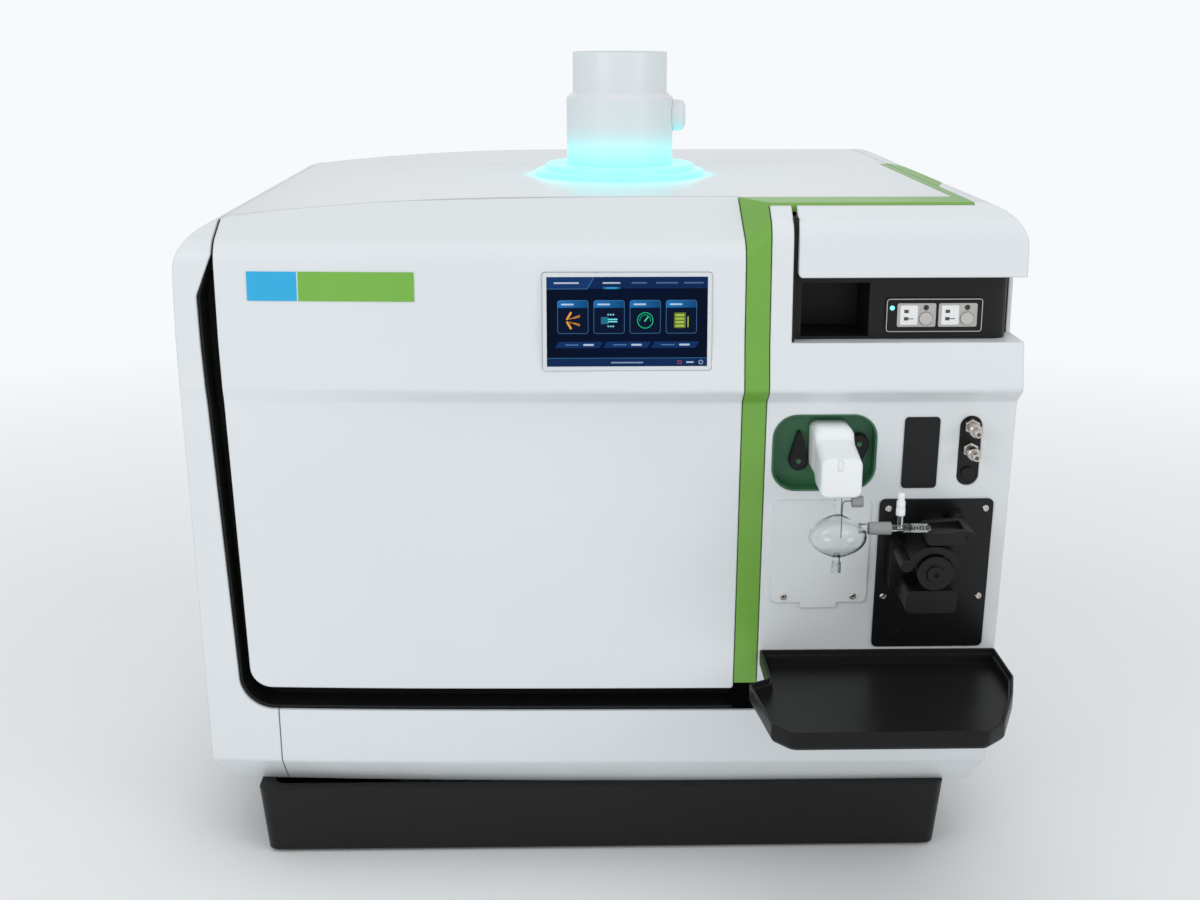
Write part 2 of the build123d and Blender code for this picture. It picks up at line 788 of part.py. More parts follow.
mount_slant = 0.5
mount_heel = glass_top + 7
with BuildPart() as torch_mount:
    with BuildSketch(Plane.YZ.offset(mount_left)):
        with BuildLine():
            Polyline(
                (front_y + face_setback(mount_top) + port_depth - mount_slant, mount_top),
                (front_y + 12, mount_top),
                (front_y - 6, mount_top - 10),
                (front_y - mount_reach, mount_top - 18),
                (front_y - mount_reach, glass_top),
                (front_y - 12, glass_top),
                (front_y + face_setback(mount_heel) + port_depth - mount_slant, mount_heel),
                (front_y + face_setback(mount_top) + port_depth - mount_slant, mount_top),
            )
        make_face()
    extrude(amount=mount_right - mount_left)
    fillet(torch_mount.edges().filter_by(Axis.X).group_by(Axis.Y)[0], 2)
    rib_plane = Plane.XY.offset(mount_top - 15)
    with BuildSketch(rib_plane):
        with Locations((mount_left + 12, front_y - 22)):
            Rectangle(7, 44)
    extrude(amount=5)
    with BuildSketch(rib_plane):
        with Locations((mount_right - 10, front_y - 22)):
            Rectangle(3, 30)
    extrude(amount=-30, both=True, mode=Mode.SUBTRACT)
    notch_front = -mount_reach - 1
    notch_low = glass_top - 1
    notch = block(mount_right - 9, mount_right + 1, notch_front, notch_front + 15, notch_low, notch_low + 10)
    add(notch, mode=Mode.SUBTRACT)
save(torch_mount.part, "torch_mount")


def latch(pivot, length, direction):
    """Teardrop latch lever with its bore on the plate's pin."""
    with BuildPart() as lever:
        with BuildSketch(inlet_plane(*pivot, -port_depth + latch_gap)):
            Circle(latch_radius)
            with Locations((0, direction * (length - 2.2))):
                Circle(2.2)
            make_hull()
            Circle(pin_radius + running_clearance, mode=Mode.SUBTRACT)
        extrude(amount=latch_thickness)
        chamfer(lever.faces().sort_by(Axis.Y)[0].outer_wire().edges(), 1)
    return lever.part


save(latch(latch_left_pivot, latch_left_length, 1), "latch_left")
save(latch(latch_right_pivot, latch_right_length, -1), "latch_right")

save(inlet_plate(label_box, 4, label_thickness, label_thickness), "label_plate")
gas_seat = 2.0
with BuildPart() as gas_plate:
    add(inlet_plate(gas_box, gas_radius - 0.35, -gas_seat, 4, 0.3))
    with BuildSketch(inlet_plane(gas_x, gas_plug_height, -gas_seat)):
        Circle(6.4)
    extrude(amount=3.4)
    fillet(gas_plate.faces().sort_by(Axis.Y)[0].edges(), 1)
save(gas_plate.part, "gas_plate")

with BuildPart() as gas_fittings:
    for height in fitting_heights:
        with BuildSketch(inlet_plane(gas_x, height, -2)):
            RegularPolygon(8, 6)
        extrude(amount=9)
        with BuildSketch(inlet_plane(gas_x, height, 7)):
            Circle(5.6)
        extrude(amount=9)
        with BuildSketch(inlet_plane(gas_x, height, 16)):
            Circle(6.6)
        extrude(amount=5)
        with BuildSketch(inlet_plane(gas_x, height, 21)):
            Circle(4)
        extrude(amount=9)
        with BuildSketch(inlet_plane(gas_x, height, 30)):
            Circle(2)
        extrude(amount=-22, mode=Mode.SUBTRACT)
save(gas_fittings.part, "gas_fittings")

with BuildPart() as access_panel:
    add(inlet_plate(access_box, plate_radius, plate_proud, plate_proud))
    tab_left, tab_right, tab_low = access_tab
    add(inlet_plate((tab_left, tab_right, tab_low, access_low + 8), 2, plate_proud, plate_proud))
save(access_panel.part, "access_panel")

pump_plate_proud = 2.4
pump_plug_place = (304.0, 261.0)
with BuildPart() as pump_plate:
    add(inlet_plate(pump_box, plate_radius, pump_plate_proud, pump_plate_proud))
    chamfer(pump_plate.faces().sort_by(Axis.Y)[0].outer_wire().edges(), 0.6)
    with BuildSketch(inlet_plane(*pump_plug_place, pump_plate_proud)):
        Circle(5.5)
    extrude(amount=1.6)
save(pump_plate.part, "pump_plate")

with BuildPart() as panel_screws:
    for places, seat in ((access_screws, plate_proud), (pump_screws, pump_plate_proud)):
        for x, height in places:
            with BuildSketch(inlet_plane(x, height, seat)):
                Circle(screw_radius)
            extrude(amount=screw_height, taper=20)
            with BuildSketch(inlet_plane(x, height, seat + screw_height)):
                RegularPolygon(1.6, 6)
            extrude(amount=-1.1, mode=Mode.SUBTRACT)
save(panel_screws.part, "panel_screws")

# ---------------------------------------------------------------- peristaltic pump
head_start = pump_plate_proud
disc_back = head_reach + 2
roller_start = disc_back + disc_thickness
roller_end = roller_start + roller_length
disc_front = roller_end + disc_thickness
rotor_room = 1.0


def pump_level(out):
    """Plane across the pump's axis at a distance out of the inlet face."""
    return inlet_plane(pump_x, pump_height, out)


shoe_u = shoe_pivot[0] - pump_x
shoe_v = shoe_pivot[1] - pump_height
lever_u = lever_pivot[0] - pump_x
lever_v = lever_pivot[1] - pump_height
with BuildPart() as pump_head:
    with BuildSketch(pump_level(head_start)):
        Circle(22)
        with Locations((shoe_u, shoe_v)):
            Circle(8)
        with Locations((lever_u, lever_v)):
            Circle(8)
        with Locations((0, -32)):
            RectangleRounded(56, 26, 5)
        with Locations((shoe_u, -14)):
            Rectangle(16, 40)
        with Locations((lever_u - 1, 4)):
            Rectangle(14, 62)
        Circle(shaft_radius + running_clearance, mode=Mode.SUBTRACT)
    extrude(amount=head_reach - head_start)
    with BuildSketch(pump_level(head_reach)):
        with Locations((-1, -32)):
            RectangleRounded(50, 24, 5)
        Circle(disc_radius + rotor_room, mode=Mode.SUBTRACT)
    extrude(amount=roller_end - head_reach)
    with BuildSketch(pump_level(head_reach)):
        with Locations((shoe_u, shoe_v), (lever_u, lever_v)):
            Circle(pin_radius)
    extrude(amount=roller_end - head_reach)
save(pump_head.part, "pump_head")

with BuildPart() as pump_rotor:
    with BuildSketch(pump_level(head_start + 0.5)):
        Circle(shaft_radius)
    extrude(amount=disc_front - head_start)
    for level in (disc_back, roller_end):
        with BuildSketch(pump_level(level)):
            Circle(disc_radius)
        extrude(amount=disc_thickness)
    with BuildSketch(pump_level(disc_front)):
        Circle(9)
    extrude(amount=3, taper=15)
    with BuildSketch(pump_level(disc_front + 3.5)):
        RegularPolygon(3, 6)
    extrude(amount=-3, mode=Mode.SUBTRACT)
save(pump_rotor.part, "pump_rotor")

with BuildPart() as pump_rollers:
    with BuildSketch(pump_level(roller_start)):
        with PolarLocations(roller_circle, roller_count):
            Circle(roller_radius)
    extrude(amount=roller_length)
save(pump_rollers.part, "pump_rollers")

shoe_start = head_reach + shoe_clearance
shoe_end = roller_end - 1
shoe_from, shoe_sweep = 14, 150
with BuildPart() as pump_shoe:
    with BuildSketch(pump_level(shoe_start)):
        with BuildLine():
            outer_arc = CenterArc((0, 0), shoe_outer, shoe_from, shoe_sweep)
            inner_arc = CenterArc((0, 0), shoe_inner, shoe_from, shoe_sweep)
            Line(outer_arc @ 0, inner_arc @ 0)
            Line(outer_arc @ 1, inner_arc @ 1)
        make_face()
        with Locations((shoe_u, shoe_v)):
            Circle(6.5)
            Circle(pin_radius + running_clearance, mode=Mode.SUBTRACT)
        Circle(shoe_inner, mode=Mode.SUBTRACT)
    extrude(amount=shoe_end - shoe_start)
    for groove_level in (0.2, 0.4, 0.6, 0.8):
        level = shoe_start + groove_level * (shoe_end - shoe_start)
        with BuildSketch(pump_level(level - 1)):
            Circle(shoe_outer + 1)
            Circle(shoe_outer - 1.5, mode=Mode.SUBTRACT)
            with Locations((shoe_u, shoe_v)):
                Circle(9, mode=Mode.SUBTRACT)
        extrude(amount=2, mode=Mode.SUBTRACT)
save(pump_shoe.part, "pump_shoe")

lever_tip_u = -4.0
lever_tip_v = shoe_outer + 7.5
with BuildPart() as pump_lever:
    with BuildSketch(pump_level(shoe_start)):
        with Locations((lever_u, lever_v)):
            Circle(7)
        with Locations((lever_tip_u, lever_tip_v)):
            Circle(6)
        make_hull()
        with Locations((lever_u, lever_v)):
            Circle(pin_radius + running_clearance, mode=Mode.SUBTRACT)
    extrude(amount=shoe_end - shoe_start)
    with BuildSketch(pump_level(shoe_start + 8)):
        with Locations((lever_tip_u + 12, lever_tip_v + 8)):
            Rectangle(40, 10)
    extrude(amount=shoe_end - shoe_start - 16, mode=Mode.SUBTRACT)
save(pump_lever.part, "pump_lever")

# ---------------------------------------------------------------- glassware
glass_y = front_y + glass_setback


def tube(start_x, end_x, radius, bore_radius, height):
    """A tube along x on the nebuliser's line."""
    with BuildPart() as piece:
        with BuildSketch(Plane((start_x, glass_y, height), x_dir=(0, 1, 0), z_dir=(1, 0, 0))):
            Circle(radius)
            Circle(bore_radius, mode=Mode.SUBTRACT)
        extrude(amount=end_x - start_x)
    return piece.part


with BuildPart() as spray_chamber:
    with BuildSketch(Plane((glass_x, glass_y, 0), x_dir=(1, 0, 0), z_dir=(0, -1, 0))):
        with BuildLine():
            top_z = chamber_height + chamber_half
            low_z = chamber_height - chamber_half
            wide = chamber_radius
            Polyline((neck_radius, glass_top), (neck_radius, top_z + 3))
            Spline((neck_radius, top_z + 3), (wide * 0.55, top_z - 5), (wide, chamber_height))
            Spline((wide, chamber_height), (wide * 0.55, low_z + 5), (neck_radius, low_z - 3))
            bore = neck_radius - glass_wall
            Polyline((neck_radius, low_z - 3), (neck_radius, glass_bottom), (bore, glass_bottom))
            Line((bore, glass_bottom), (bore, low_z - 2))
            inner = wide - glass_wall
            Spline((bore, low_z - 2), (wide * 0.55 - 0.6, low_z + 6), (inner, chamber_height))
            Spline((inner, chamber_height), (wide * 0.55 - 0.6, top_z - 6), (bore, top_z + 2))
            Polyline((bore, top_z + 2), (bore, glass_top), (neck_radius, glass_top))
        make_face()
    revolve(axis=Axis((glass_x, glass_y, 0), (0, 0, 1)))
    add(tube(glass_x + chamber_radius - 7, sleeve_start, side_arm_radius, side_arm_bore, nebuliser_height))
save(spray_chamber.part, "spray_chamber")

save(tube(sleeve_start, sleeve_end, sleeve_radius, side_arm_bore, nebuliser_height), "nebuliser_sleeve")

with BuildPart() as nebuliser:
    add(tube(sleeve_end - 18, tee_x + 4, 3.1, 0.9, nebuliser_height))
    add(tube(tee_x + 4, nebuliser_end - 8, 4.4, 0.9, nebuliser_height))
    add(tube(nebuliser_end - 8, nebuliser_end, 2.4, 0.9, nebuliser_height))
    with BuildSketch(Plane((tee_x, glass_y, nebuliser_height))):
        Circle(2.6)
    extrude(amount=13)
    with BuildSketch(Plane((tee_x, glass_y, nebuliser_height + 13))):
        Circle(4.2)
    extrude(amount=14)
    with BuildSketch(Plane((tee_x, glass_y, nebuliser_height + 27))):
        Circle(3.2)
    extrude(amount=9)
save(nebuliser.part, "nebuliser")

# ---------------------------------------------------------------- cover, recess and buttons
with BuildPart() as right_cover:
    add(outside)
    cover_right = side_x + 5
    cover_corners = [
        (cover_left, cover_bottom),
        (cover_right, cover_bottom),
        (cover_right, 730),
        (cover_left, 730),
    ]
    add(front_prism(cover_corners, (4, 4, 0, 0), -5, side_front_setback), mode=Mode.INTERSECT)
    core_block = block(cover_left + wall, cover_right, -5, 150, cover_bottom + wall, section_ceiling)
    cover_core = core_block & inside
    add(cover_core, mode=Mode.SUBTRACT)
    band_slot = block(0, band_end_x + seam / 2, band_front_setback - seam / 2, 80, 690, section_ceiling)
    add(band_slot, mode=Mode.SUBTRACT)
save(right_cover.part, "right_cover")

recess_low = block_top
recess_high = cover_bottom - 0.5
liner_back = recess_setback + recess_wall
corner_round = 14.0
with BuildPart() as recess_liner:
    with BuildSketch(Plane.XY.offset(recess_low)):
        with BuildLine():
            FilletPolyline(
                (recess_left + 0.5, front_y + 16),
                (recess_left + 0.5, front_y + liner_back),
                (recess_right, front_y + liner_back),
                (recess_right, front_y + side_front_setback),
                (recess_right + recess_wall, front_y + side_front_setback),
                (recess_right + recess_wall, front_y + recess_setback),
                (recess_left + 0.5 + recess_wall, front_y + recess_setback),
                (recess_left + 0.5 + recess_wall, front_y + 16),
                radius=(0, 0, corner_round - recess_wall, 0, 0, corner_round, 0, 0),
                close=True,
            )
        make_face()
    extrude(amount=recess_high - recess_low)
    shell_sides = (pocket_left - recess_wall, pocket_right + recess_wall)
    shell_heights = (pocket_low - recess_wall, pocket_high + recess_wall)
    add(block(*shell_sides, liner_back - 1, pocket_setback + recess_wall, *shell_heights))
    add(block(pocket_left, pocket_right, 0, pocket_setback, pocket_low, pocket_high), mode=Mode.SUBTRACT)
    add(block(recess_left + 0.5, cover_left - 0.4, 24, band_front_setback - 1, recess_high - 1, 690))
save(recess_liner.part, "recess_liner")

recess_front = Plane((0, front_y + recess_setback, 0), x_dir=(1, 0, 0), z_dir=(0, -1, 0))
with BuildPart() as button_bezel:
    with BuildSketch(recess_front):
        with Locations(((bezel_left + bezel_right) / 2, (bezel_low + bezel_high) / 2)):
            RectangleRounded(bezel_right - bezel_left, bezel_high - bezel_low, 3)
    extrude(amount=bezel_proud)
    with BuildSketch(recess_front.offset(bezel_proud)):
        for pad_x in pad_places:
            with Locations((pad_x, pad_low + pad_height / 2)):
                RectangleRounded(pad_width, pad_height, 2)
    extrude(amount=-1.2, mode=Mode.SUBTRACT)
    button_x = [pad_x + button_offset_x for pad_x in pad_places]
    with BuildSketch(recess_front.offset(bezel_proud)):
        with Locations(*[(x, button_height) for x in button_x]):
            Circle(button_radius + 0.3)
        with Locations(light_place):
            Circle(2.4)
    extrude(amount=-bezel_proud, mode=Mode.SUBTRACT)
save(button_bezel.part, "button_bezel")

with BuildPart() as button_pads:
    with BuildSketch(recess_front.offset(bezel_proud - 1.2)):
        for pad_x in pad_places:
            with Locations((pad_x, pad_low + pad_height / 2)):
                RectangleRounded(pad_width - 0.4, pad_height - 0.4, 1.8)
        with Locations(*[(x, button_height) for x in button_x]):
            Circle(button_radius + 0.3, mode=Mode.SUBTRACT)
    extrude(amount=1.6)
save(button_pads.part, "button_pads")

for name, x in zip(("button_left", "button_right"), button_x):
    with BuildPart() as button:
        with BuildSketch(recess_front.offset(button_travel + 0.3)):
            with Locations((x, button_height)):
                Circle(button_radius)
        extrude(amount=bezel_proud + button_proud - button_travel - 0.3)
        fillet(button.faces().sort_by(Axis.Y)[0].edges(), 0.8)
    save(button.part, name)

with BuildPart() as status_light:
    with BuildSketch(recess_front):
        with Locations(light_place):
            Circle(2.2)
    extrude(amount=bezel_proud + 0.6)
    fillet(status_light.faces().sort_by(Axis.Y)[0].edges(), 0.5)
save(status_light.part, "status_light")

# ---------------------------------------------------------------- drip tray
tray_back = face_setback(tray_rim) - tray_gap
tray_outline = [
    (166, tray_back),
    (166, -34),
    (145, -48),
    (156, 20 - tray_reach),
    (172, -tray_reach),
    (352, -tray_reach),
    (373, 20 - tray_reach),
    (398, -76),
    (side_x, -34),
    (side_x, tray_back),
]
tray_radii = (3, 6, 7, 8, 14, 14, 10, 20, 14, 3)
tray_points = [(x, front_y + setback) for x, setback in tray_outline]


def tray_sketch(height, inset):
    """The tray's outline at a height, drawn in by inset."""
    with BuildSketch(Plane.XY.offset(height)) as outline:
        with BuildLine():
            FilletPolyline(*tray_points, radius=tray_radii, close=True)
        make_face()
        if inset:
            offset(amount=-inset)
    return outline.sketch


with BuildPart() as drip_tray:
    extrude(tray_sketch(tray_rim - tray_depth, 0), amount=tray_depth)
    tray_hollow = tray_sketch(tray_rim - tray_depth + tray_floor, tray_wall)
    extrude(tray_hollow, amount=tray_depth, mode=Mode.SUBTRACT)
    extrude(tray_sketch(tray_rim - 5, tray_wall - 2.4), amount=6, mode=Mode.SUBTRACT)
    tray_under = drip_tray.faces().sort_by(Axis.Z)[0]
    chamfer(tray_under.outer_wire().edges().sort_by(Axis.Y)[:-1], 2)
save(drip_tray.part, "drip_tray")

# ---------------------------------------------------------------- exhaust stack
stack_y = front_y + stack_setback
duct_bore = duct_radius - duct_wall
flange_top = body_top + flange_height
with BuildPart() as exhaust_flange:
    with BuildSketch(Plane((stack_x, stack_y, body_top))):
        Circle(flange_radius)
        Circle(duct_bore, mode=Mode.SUBTRACT)
    extrude(amount=flange_height)
    flange_rims = exhaust_flange.edges().filter_by(GeomType.CIRCLE).group_by(Axis.Z)[-1]
    fillet(flange_rims.sort_by(SortBy.RADIUS)[-1], 4)
save(exhaust_flange.part, "exhaust_flange")

with BuildPart() as exhaust_stack:
    with BuildSketch(Plane((stack_x, stack_y, 0), x_dir=(1, 0, 0), z_dir=(0, -1, 0))):
        with BuildLine():
            Polyline(
                (duct_bore, flange_top),
                (collar_radius, flange_top),
                (collar_radius, neck_height),
                (duct_radius, neck_height + collar_chamfer),
                (duct_radius, duct_top),
                (duct_bore, duct_top),
                (duct_bore, flange_top),
            )
        make_face()
    revolve(axis=Axis((stack_x, stack_y, 0), (0, 0, 1)))
save(exhaust_stack.part, "exhaust_stack")

with BuildPart() as light_ring:
    with BuildSketch(Plane((stack_x, stack_y, body_top))):
        Circle(ring_outer)
        Circle(flange_radius + 0.3, mode=Mode.SUBTRACT)
    extrude(amount=ring_height)
    ring_rims = light_ring.edges().filter_by(GeomType.CIRCLE).group_by(Axis.Z)[-1]
    fillet(ring_rims.sort_by(SortBy.RADIUS)[-1], 3)
save(light_ring.part, "light_ring")

with BuildPart() as stub_cap:
    with BuildSketch(Plane((stack_x, stack_y, stub_height), x_dir=(0, 1, 0), z_dir=(1, 0, 0))):
        Circle(stub_radius)
    extrude(amount=collar_radius + stub_reach)
    fillet(stub_cap.edges().filter_by(GeomType.CIRCLE).sort_by(Axis.X)[-1], 7)
    with BuildSketch(Plane((stack_x, stack_y, stub_height - 40))):
        Circle(collar_radius)
    extrude(amount=80, mode=Mode.SUBTRACT)
save(stub_cap.part, "stub_cap")

# ---------------------------------------------------------------- behind the door
bulkhead_back = bulkhead_setback + bulkhead_thickness
bulkhead_low = body_bottom + base_flange + 1
bulkhead_top = body_top - 7
with BuildPart() as front_bulkhead:
    extrude(front_outline(wall + 0.5), amount=body_depth - bulkhead_setback)
    keep = block(-side_x, side_x, bulkhead_setback, bulkhead_back, bulkhead_low, bulkhead_top)
    add(keep, mode=Mode.INTERSECT)
    for arm_x in arm_places:
        with BuildSketch(Plane.YZ.offset(arm_x + arm_thickness + bracket_gap)):
            with BuildLine():
                Polyline(
                    (front_y + pivot_setback - 10, pivot_height - 10),
                    (front_y + bulkhead_setback, pivot_height - 40),
                    (front_y + bulkhead_setback, pivot_height + 20),
                    (front_y + pivot_setback - 10, pivot_height + 10),
                    (front_y + pivot_setback - 10, pivot_height - 10),
                )
            make_face()
        extrude(amount=bracket_thickness)
    for arm_x in arm_places:
        with BuildSketch(Plane.YZ.offset(arm_x - bracket_gap)):
            with Locations((front_y + pivot_setback, pivot_height)):
                Circle(pivot_pin_radius)
        extrude(amount=arm_thickness + bracket_thickness + 2 * bracket_gap)
        with BuildSketch(Plane.YZ.offset(arm_x - bracket_gap)):
            with Locations((front_y + pivot_setback, pivot_height)):
                Circle(pivot_pin_radius + 3)
        extrude(amount=-pin_head)
save(front_bulkhead.part, "front_bulkhead")

chamber_front = 110.0
chamber_low, chamber_high = torch_height - 108, torch_height + 102
with BuildPart() as vacuum_chamber:
    add(block(-300, -20, chamber_front, bulkhead_setback, chamber_low, chamber_high))
    fillet(vacuum_chamber.edges().filter_by(Axis.Y), 12)
    chamber_middle = (chamber_low + chamber_high) / 2
    chamber_face = Plane((-160, front_y + chamber_front, chamber_middle), x_dir=(1, 0, 0), z_dir=(0, -1, 0))
    with BuildSketch(chamber_face):
        RectangleRounded(250, 180, 8)
    extrude(amount=6)
    with BuildSketch(chamber_face.offset(6)):
        with GridLocations(76, 160, 4, 2):
            RegularPolygon(4, 6)
        with GridLocations(230, 50, 2, 3):
            RegularPolygon(4, 6)
    extrude(amount=3)
save(vacuum_chamber.part, "vacuum_chamber")

torch_y = front_y + torch_setback
with BuildPart() as interface_housing:
    with BuildSketch(Plane((-20, torch_y, torch_height), x_dir=(0, 1, 0), z_dir=(1, 0, 0))):
        Circle(56)
    extrude(amount=34)
    with BuildSketch(Plane((14, torch_y, torch_height), x_dir=(0, 1, 0), z_dir=(1, 0, 0))):
        Circle(44)
    extrude(amount=12)
    with BuildSketch(Plane((26, torch_y, torch_height), x_dir=(0, 1, 0), z_dir=(1, 0, 0))):
        Circle(24)
    extrude(amount=20, taper=42)
    with BuildSketch(Plane((14, torch_y, torch_height), x_dir=(0, 1, 0), z_dir=(1, 0, 0))):
        with PolarLocations(50, 6):
            RegularPolygon(3.5, 6)
    extrude(amount=3)
save(interface_housing.part, "interface_housing")

torch_box_left, torch_box_right = 134.0, 290.0
torch_box_low, torch_box_high = torch_height - 70, torch_height + 76
torch_box_wall = 4.0
with BuildPart() as torch_box:
    add(block(torch_box_left, torch_box_right, 62, bulkhead_setback, torch_box_low, torch_box_high))
    inside_low, inside_high = torch_box_low + torch_box_wall, torch_box_high - torch_box_wall
    inside_right, inside_back = torch_box_right - torch_box_wall, bulkhead_setback - torch_box_wall
    inside_front = 62 + torch_box_wall
    hollow = block(torch_box_left - 1, inside_right, inside_front, inside_back, inside_low, inside_high)
    add(hollow, mode=Mode.SUBTRACT)
    with BuildSketch(Plane((inside_right, torch_y, torch_height), x_dir=(0, 1, 0), z_dir=(1, 0, 0))):
        Circle(14)
    extrude(amount=-40)
save(torch_box.part, "torch_box")

torch_radius = 10.0
with BuildPart() as torch_tube:
    with BuildSketch(Plane((246, torch_y, torch_height), x_dir=(0, 1, 0), z_dir=(-1, 0, 0))):
        Circle(torch_radius)
        Circle(torch_radius - 1.2, mode=Mode.SUBTRACT)
    extrude(amount=178)
save(torch_tube.part, "torch_tube")

coil_radius = 15.0
coil_tube = 2.0
lead_tube = 2.3
coil_pitch = 7.0
coil_x = 76.0
coil_turns = 3
with BuildPart() as load_coil:
    with BuildLine():
        coil_middle = (coil_x, torch_y, torch_height)
        coil_path = Helix(coil_pitch, coil_turns * coil_pitch, coil_radius, coil_middle, (1, 0, 0))
    with BuildSketch(Plane(coil_path @ 0, z_dir=coil_path % 0)):
        Circle(coil_tube)
    sweep(path=coil_path, is_frenet=True)
    # Both leads run straight back to the bulkhead that carries the coil.
    for end in (0, 1):
        lead_start = coil_path @ end
        with BuildSketch(Plane(lead_start, x_dir=(1, 0, 0), z_dir=(0, 1, 0))):
            Circle(lead_tube)
        extrude(amount=front_y + bulkhead_setback - lead_start.Y)
save(load_coil.part, "load_coil")

with BuildPart() as turbo_pump:
    pump_axis_y = front_y + 148
    with BuildSketch(Plane((-160, pump_axis_y, 180))):
        Circle(36)
    extrude(amount=150)
    with BuildSketch(Plane((-160, pump_axis_y, 330))):
        Circle(41)
    extrude(amount=20)
    for rib in range(5):
        with BuildSketch(Plane((-160, pump_axis_y, 200 + rib * 20))):
            Circle(39)
        extrude(amount=8)
    with BuildSketch(Plane((-160, pump_axis_y, 180))):
        with Locations((0, 20)):
            Rectangle(40, 44)
    extrude(amount=-30)
save(turbo_pump.part, "turbo_pump")

with BuildPart() as rf_generator:
    add(block(0, 128, 112, bulkhead_setback, 150, 350))
    fin_face = Plane((64, front_y + 112, 250), x_dir=(1, 0, 0), z_dir=(0, -1, 0))
    with BuildSketch(fin_face):
        with GridLocations(14, 0, 8, 1):
            Rectangle(8, 170)
    extrude(amount=-10, mode=Mode.SUBTRACT)
save(rf_generator.part, "rf_generator")
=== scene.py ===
import json
import math

import bmesh
import bpy
import numpy as np
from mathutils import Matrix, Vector


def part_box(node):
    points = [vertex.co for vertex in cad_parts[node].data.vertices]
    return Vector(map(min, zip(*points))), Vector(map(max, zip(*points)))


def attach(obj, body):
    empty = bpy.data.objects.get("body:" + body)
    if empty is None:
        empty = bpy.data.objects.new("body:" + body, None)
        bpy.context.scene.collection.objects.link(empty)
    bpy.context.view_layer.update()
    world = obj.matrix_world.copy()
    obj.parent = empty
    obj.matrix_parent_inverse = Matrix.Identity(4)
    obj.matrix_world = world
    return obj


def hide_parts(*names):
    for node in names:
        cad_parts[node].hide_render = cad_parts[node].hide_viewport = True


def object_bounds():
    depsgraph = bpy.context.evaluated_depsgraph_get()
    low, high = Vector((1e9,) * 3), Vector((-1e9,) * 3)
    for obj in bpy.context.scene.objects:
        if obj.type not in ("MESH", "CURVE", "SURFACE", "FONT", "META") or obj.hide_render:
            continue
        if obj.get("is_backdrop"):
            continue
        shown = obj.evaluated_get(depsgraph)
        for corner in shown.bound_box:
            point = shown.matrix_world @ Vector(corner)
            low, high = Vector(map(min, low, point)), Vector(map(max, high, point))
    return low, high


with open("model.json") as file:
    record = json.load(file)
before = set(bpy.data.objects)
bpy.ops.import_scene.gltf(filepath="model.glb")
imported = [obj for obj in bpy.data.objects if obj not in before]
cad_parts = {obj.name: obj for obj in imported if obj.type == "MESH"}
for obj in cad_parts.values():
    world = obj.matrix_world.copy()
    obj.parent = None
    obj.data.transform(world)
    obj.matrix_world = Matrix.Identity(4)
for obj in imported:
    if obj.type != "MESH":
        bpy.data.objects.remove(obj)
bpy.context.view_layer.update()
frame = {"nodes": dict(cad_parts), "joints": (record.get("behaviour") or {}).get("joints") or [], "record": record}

# Benchtop plasma mass spectrometer: finishes for the CAD pieces, and finer surfaces for the glassware,
# fittings, screws, exhaust and tray. Metres; X right, Y back, Z up.

MM = 0.001
record = frame["record"]
mounts = {mount["name"]: np.array(mount["pos_m"]) for mount in record["mounts"]}
joints = {joint["name"]: joint for joint in frame["joints"]}
duct_place = mounts["exhaust_duct"]
front_y = duct_place[1] - 350 * MM

# ---------------------------------------------------------------- places on the sunken inlet face
inlet_out = np.array(joints["pump_spin"]["axis"])
inlet_right = np.array([1.0, 0.0, 0.0])
face_slope = inlet_out[2] / inlet_out[1]
face_top = 511 * MM
face_setback = 21 * MM


def on_inlet(x, height, out=0.0):
    """Point of the inlet face at x and height, moved out of the face along its normal."""
    setback = face_setback + (face_top - height) * face_slope
    return np.array([x, front_y + setback, height]) + out * inlet_out


# ---------------------------------------------------------------- shader maths
class Signal:
    """A shader value inside a Python expression; each operator adds the Math node that works it out."""

    def __init__(self, shader, socket):
        self.shader = shader
        self.socket = socket

    def math(self, operation, other=0.0, clamp=False):
        settings = {"operation": operation, "use_clamp": clamp}
        return self.shader.node("ShaderNodeMath", settings, {0: self, 1: other})

    def __add__(self, other):
        return self.math("ADD", other)

    def __sub__(self, other):
        return self.math("SUBTRACT", other)

    def __rsub__(self, other):
        return (self * -1.0) + other

    def __mul__(self, other):
        return self.math("MULTIPLY", other)

    def __truediv__(self, other):
        return self.math("DIVIDE", other)

    def __pow__(self, other):
        return self.math("POWER", other)

    def __abs__(self):
        return self.math("ABSOLUTE")

    __radd__ = __add__
    __rmul__ = __mul__

    def least(self, other):
        return self.math("MINIMUM", other)

    def most(self, other):
        return self.math("MAXIMUM", other)

    def clamp(self):
        return self.math("ADD", 0.0, clamp=True)


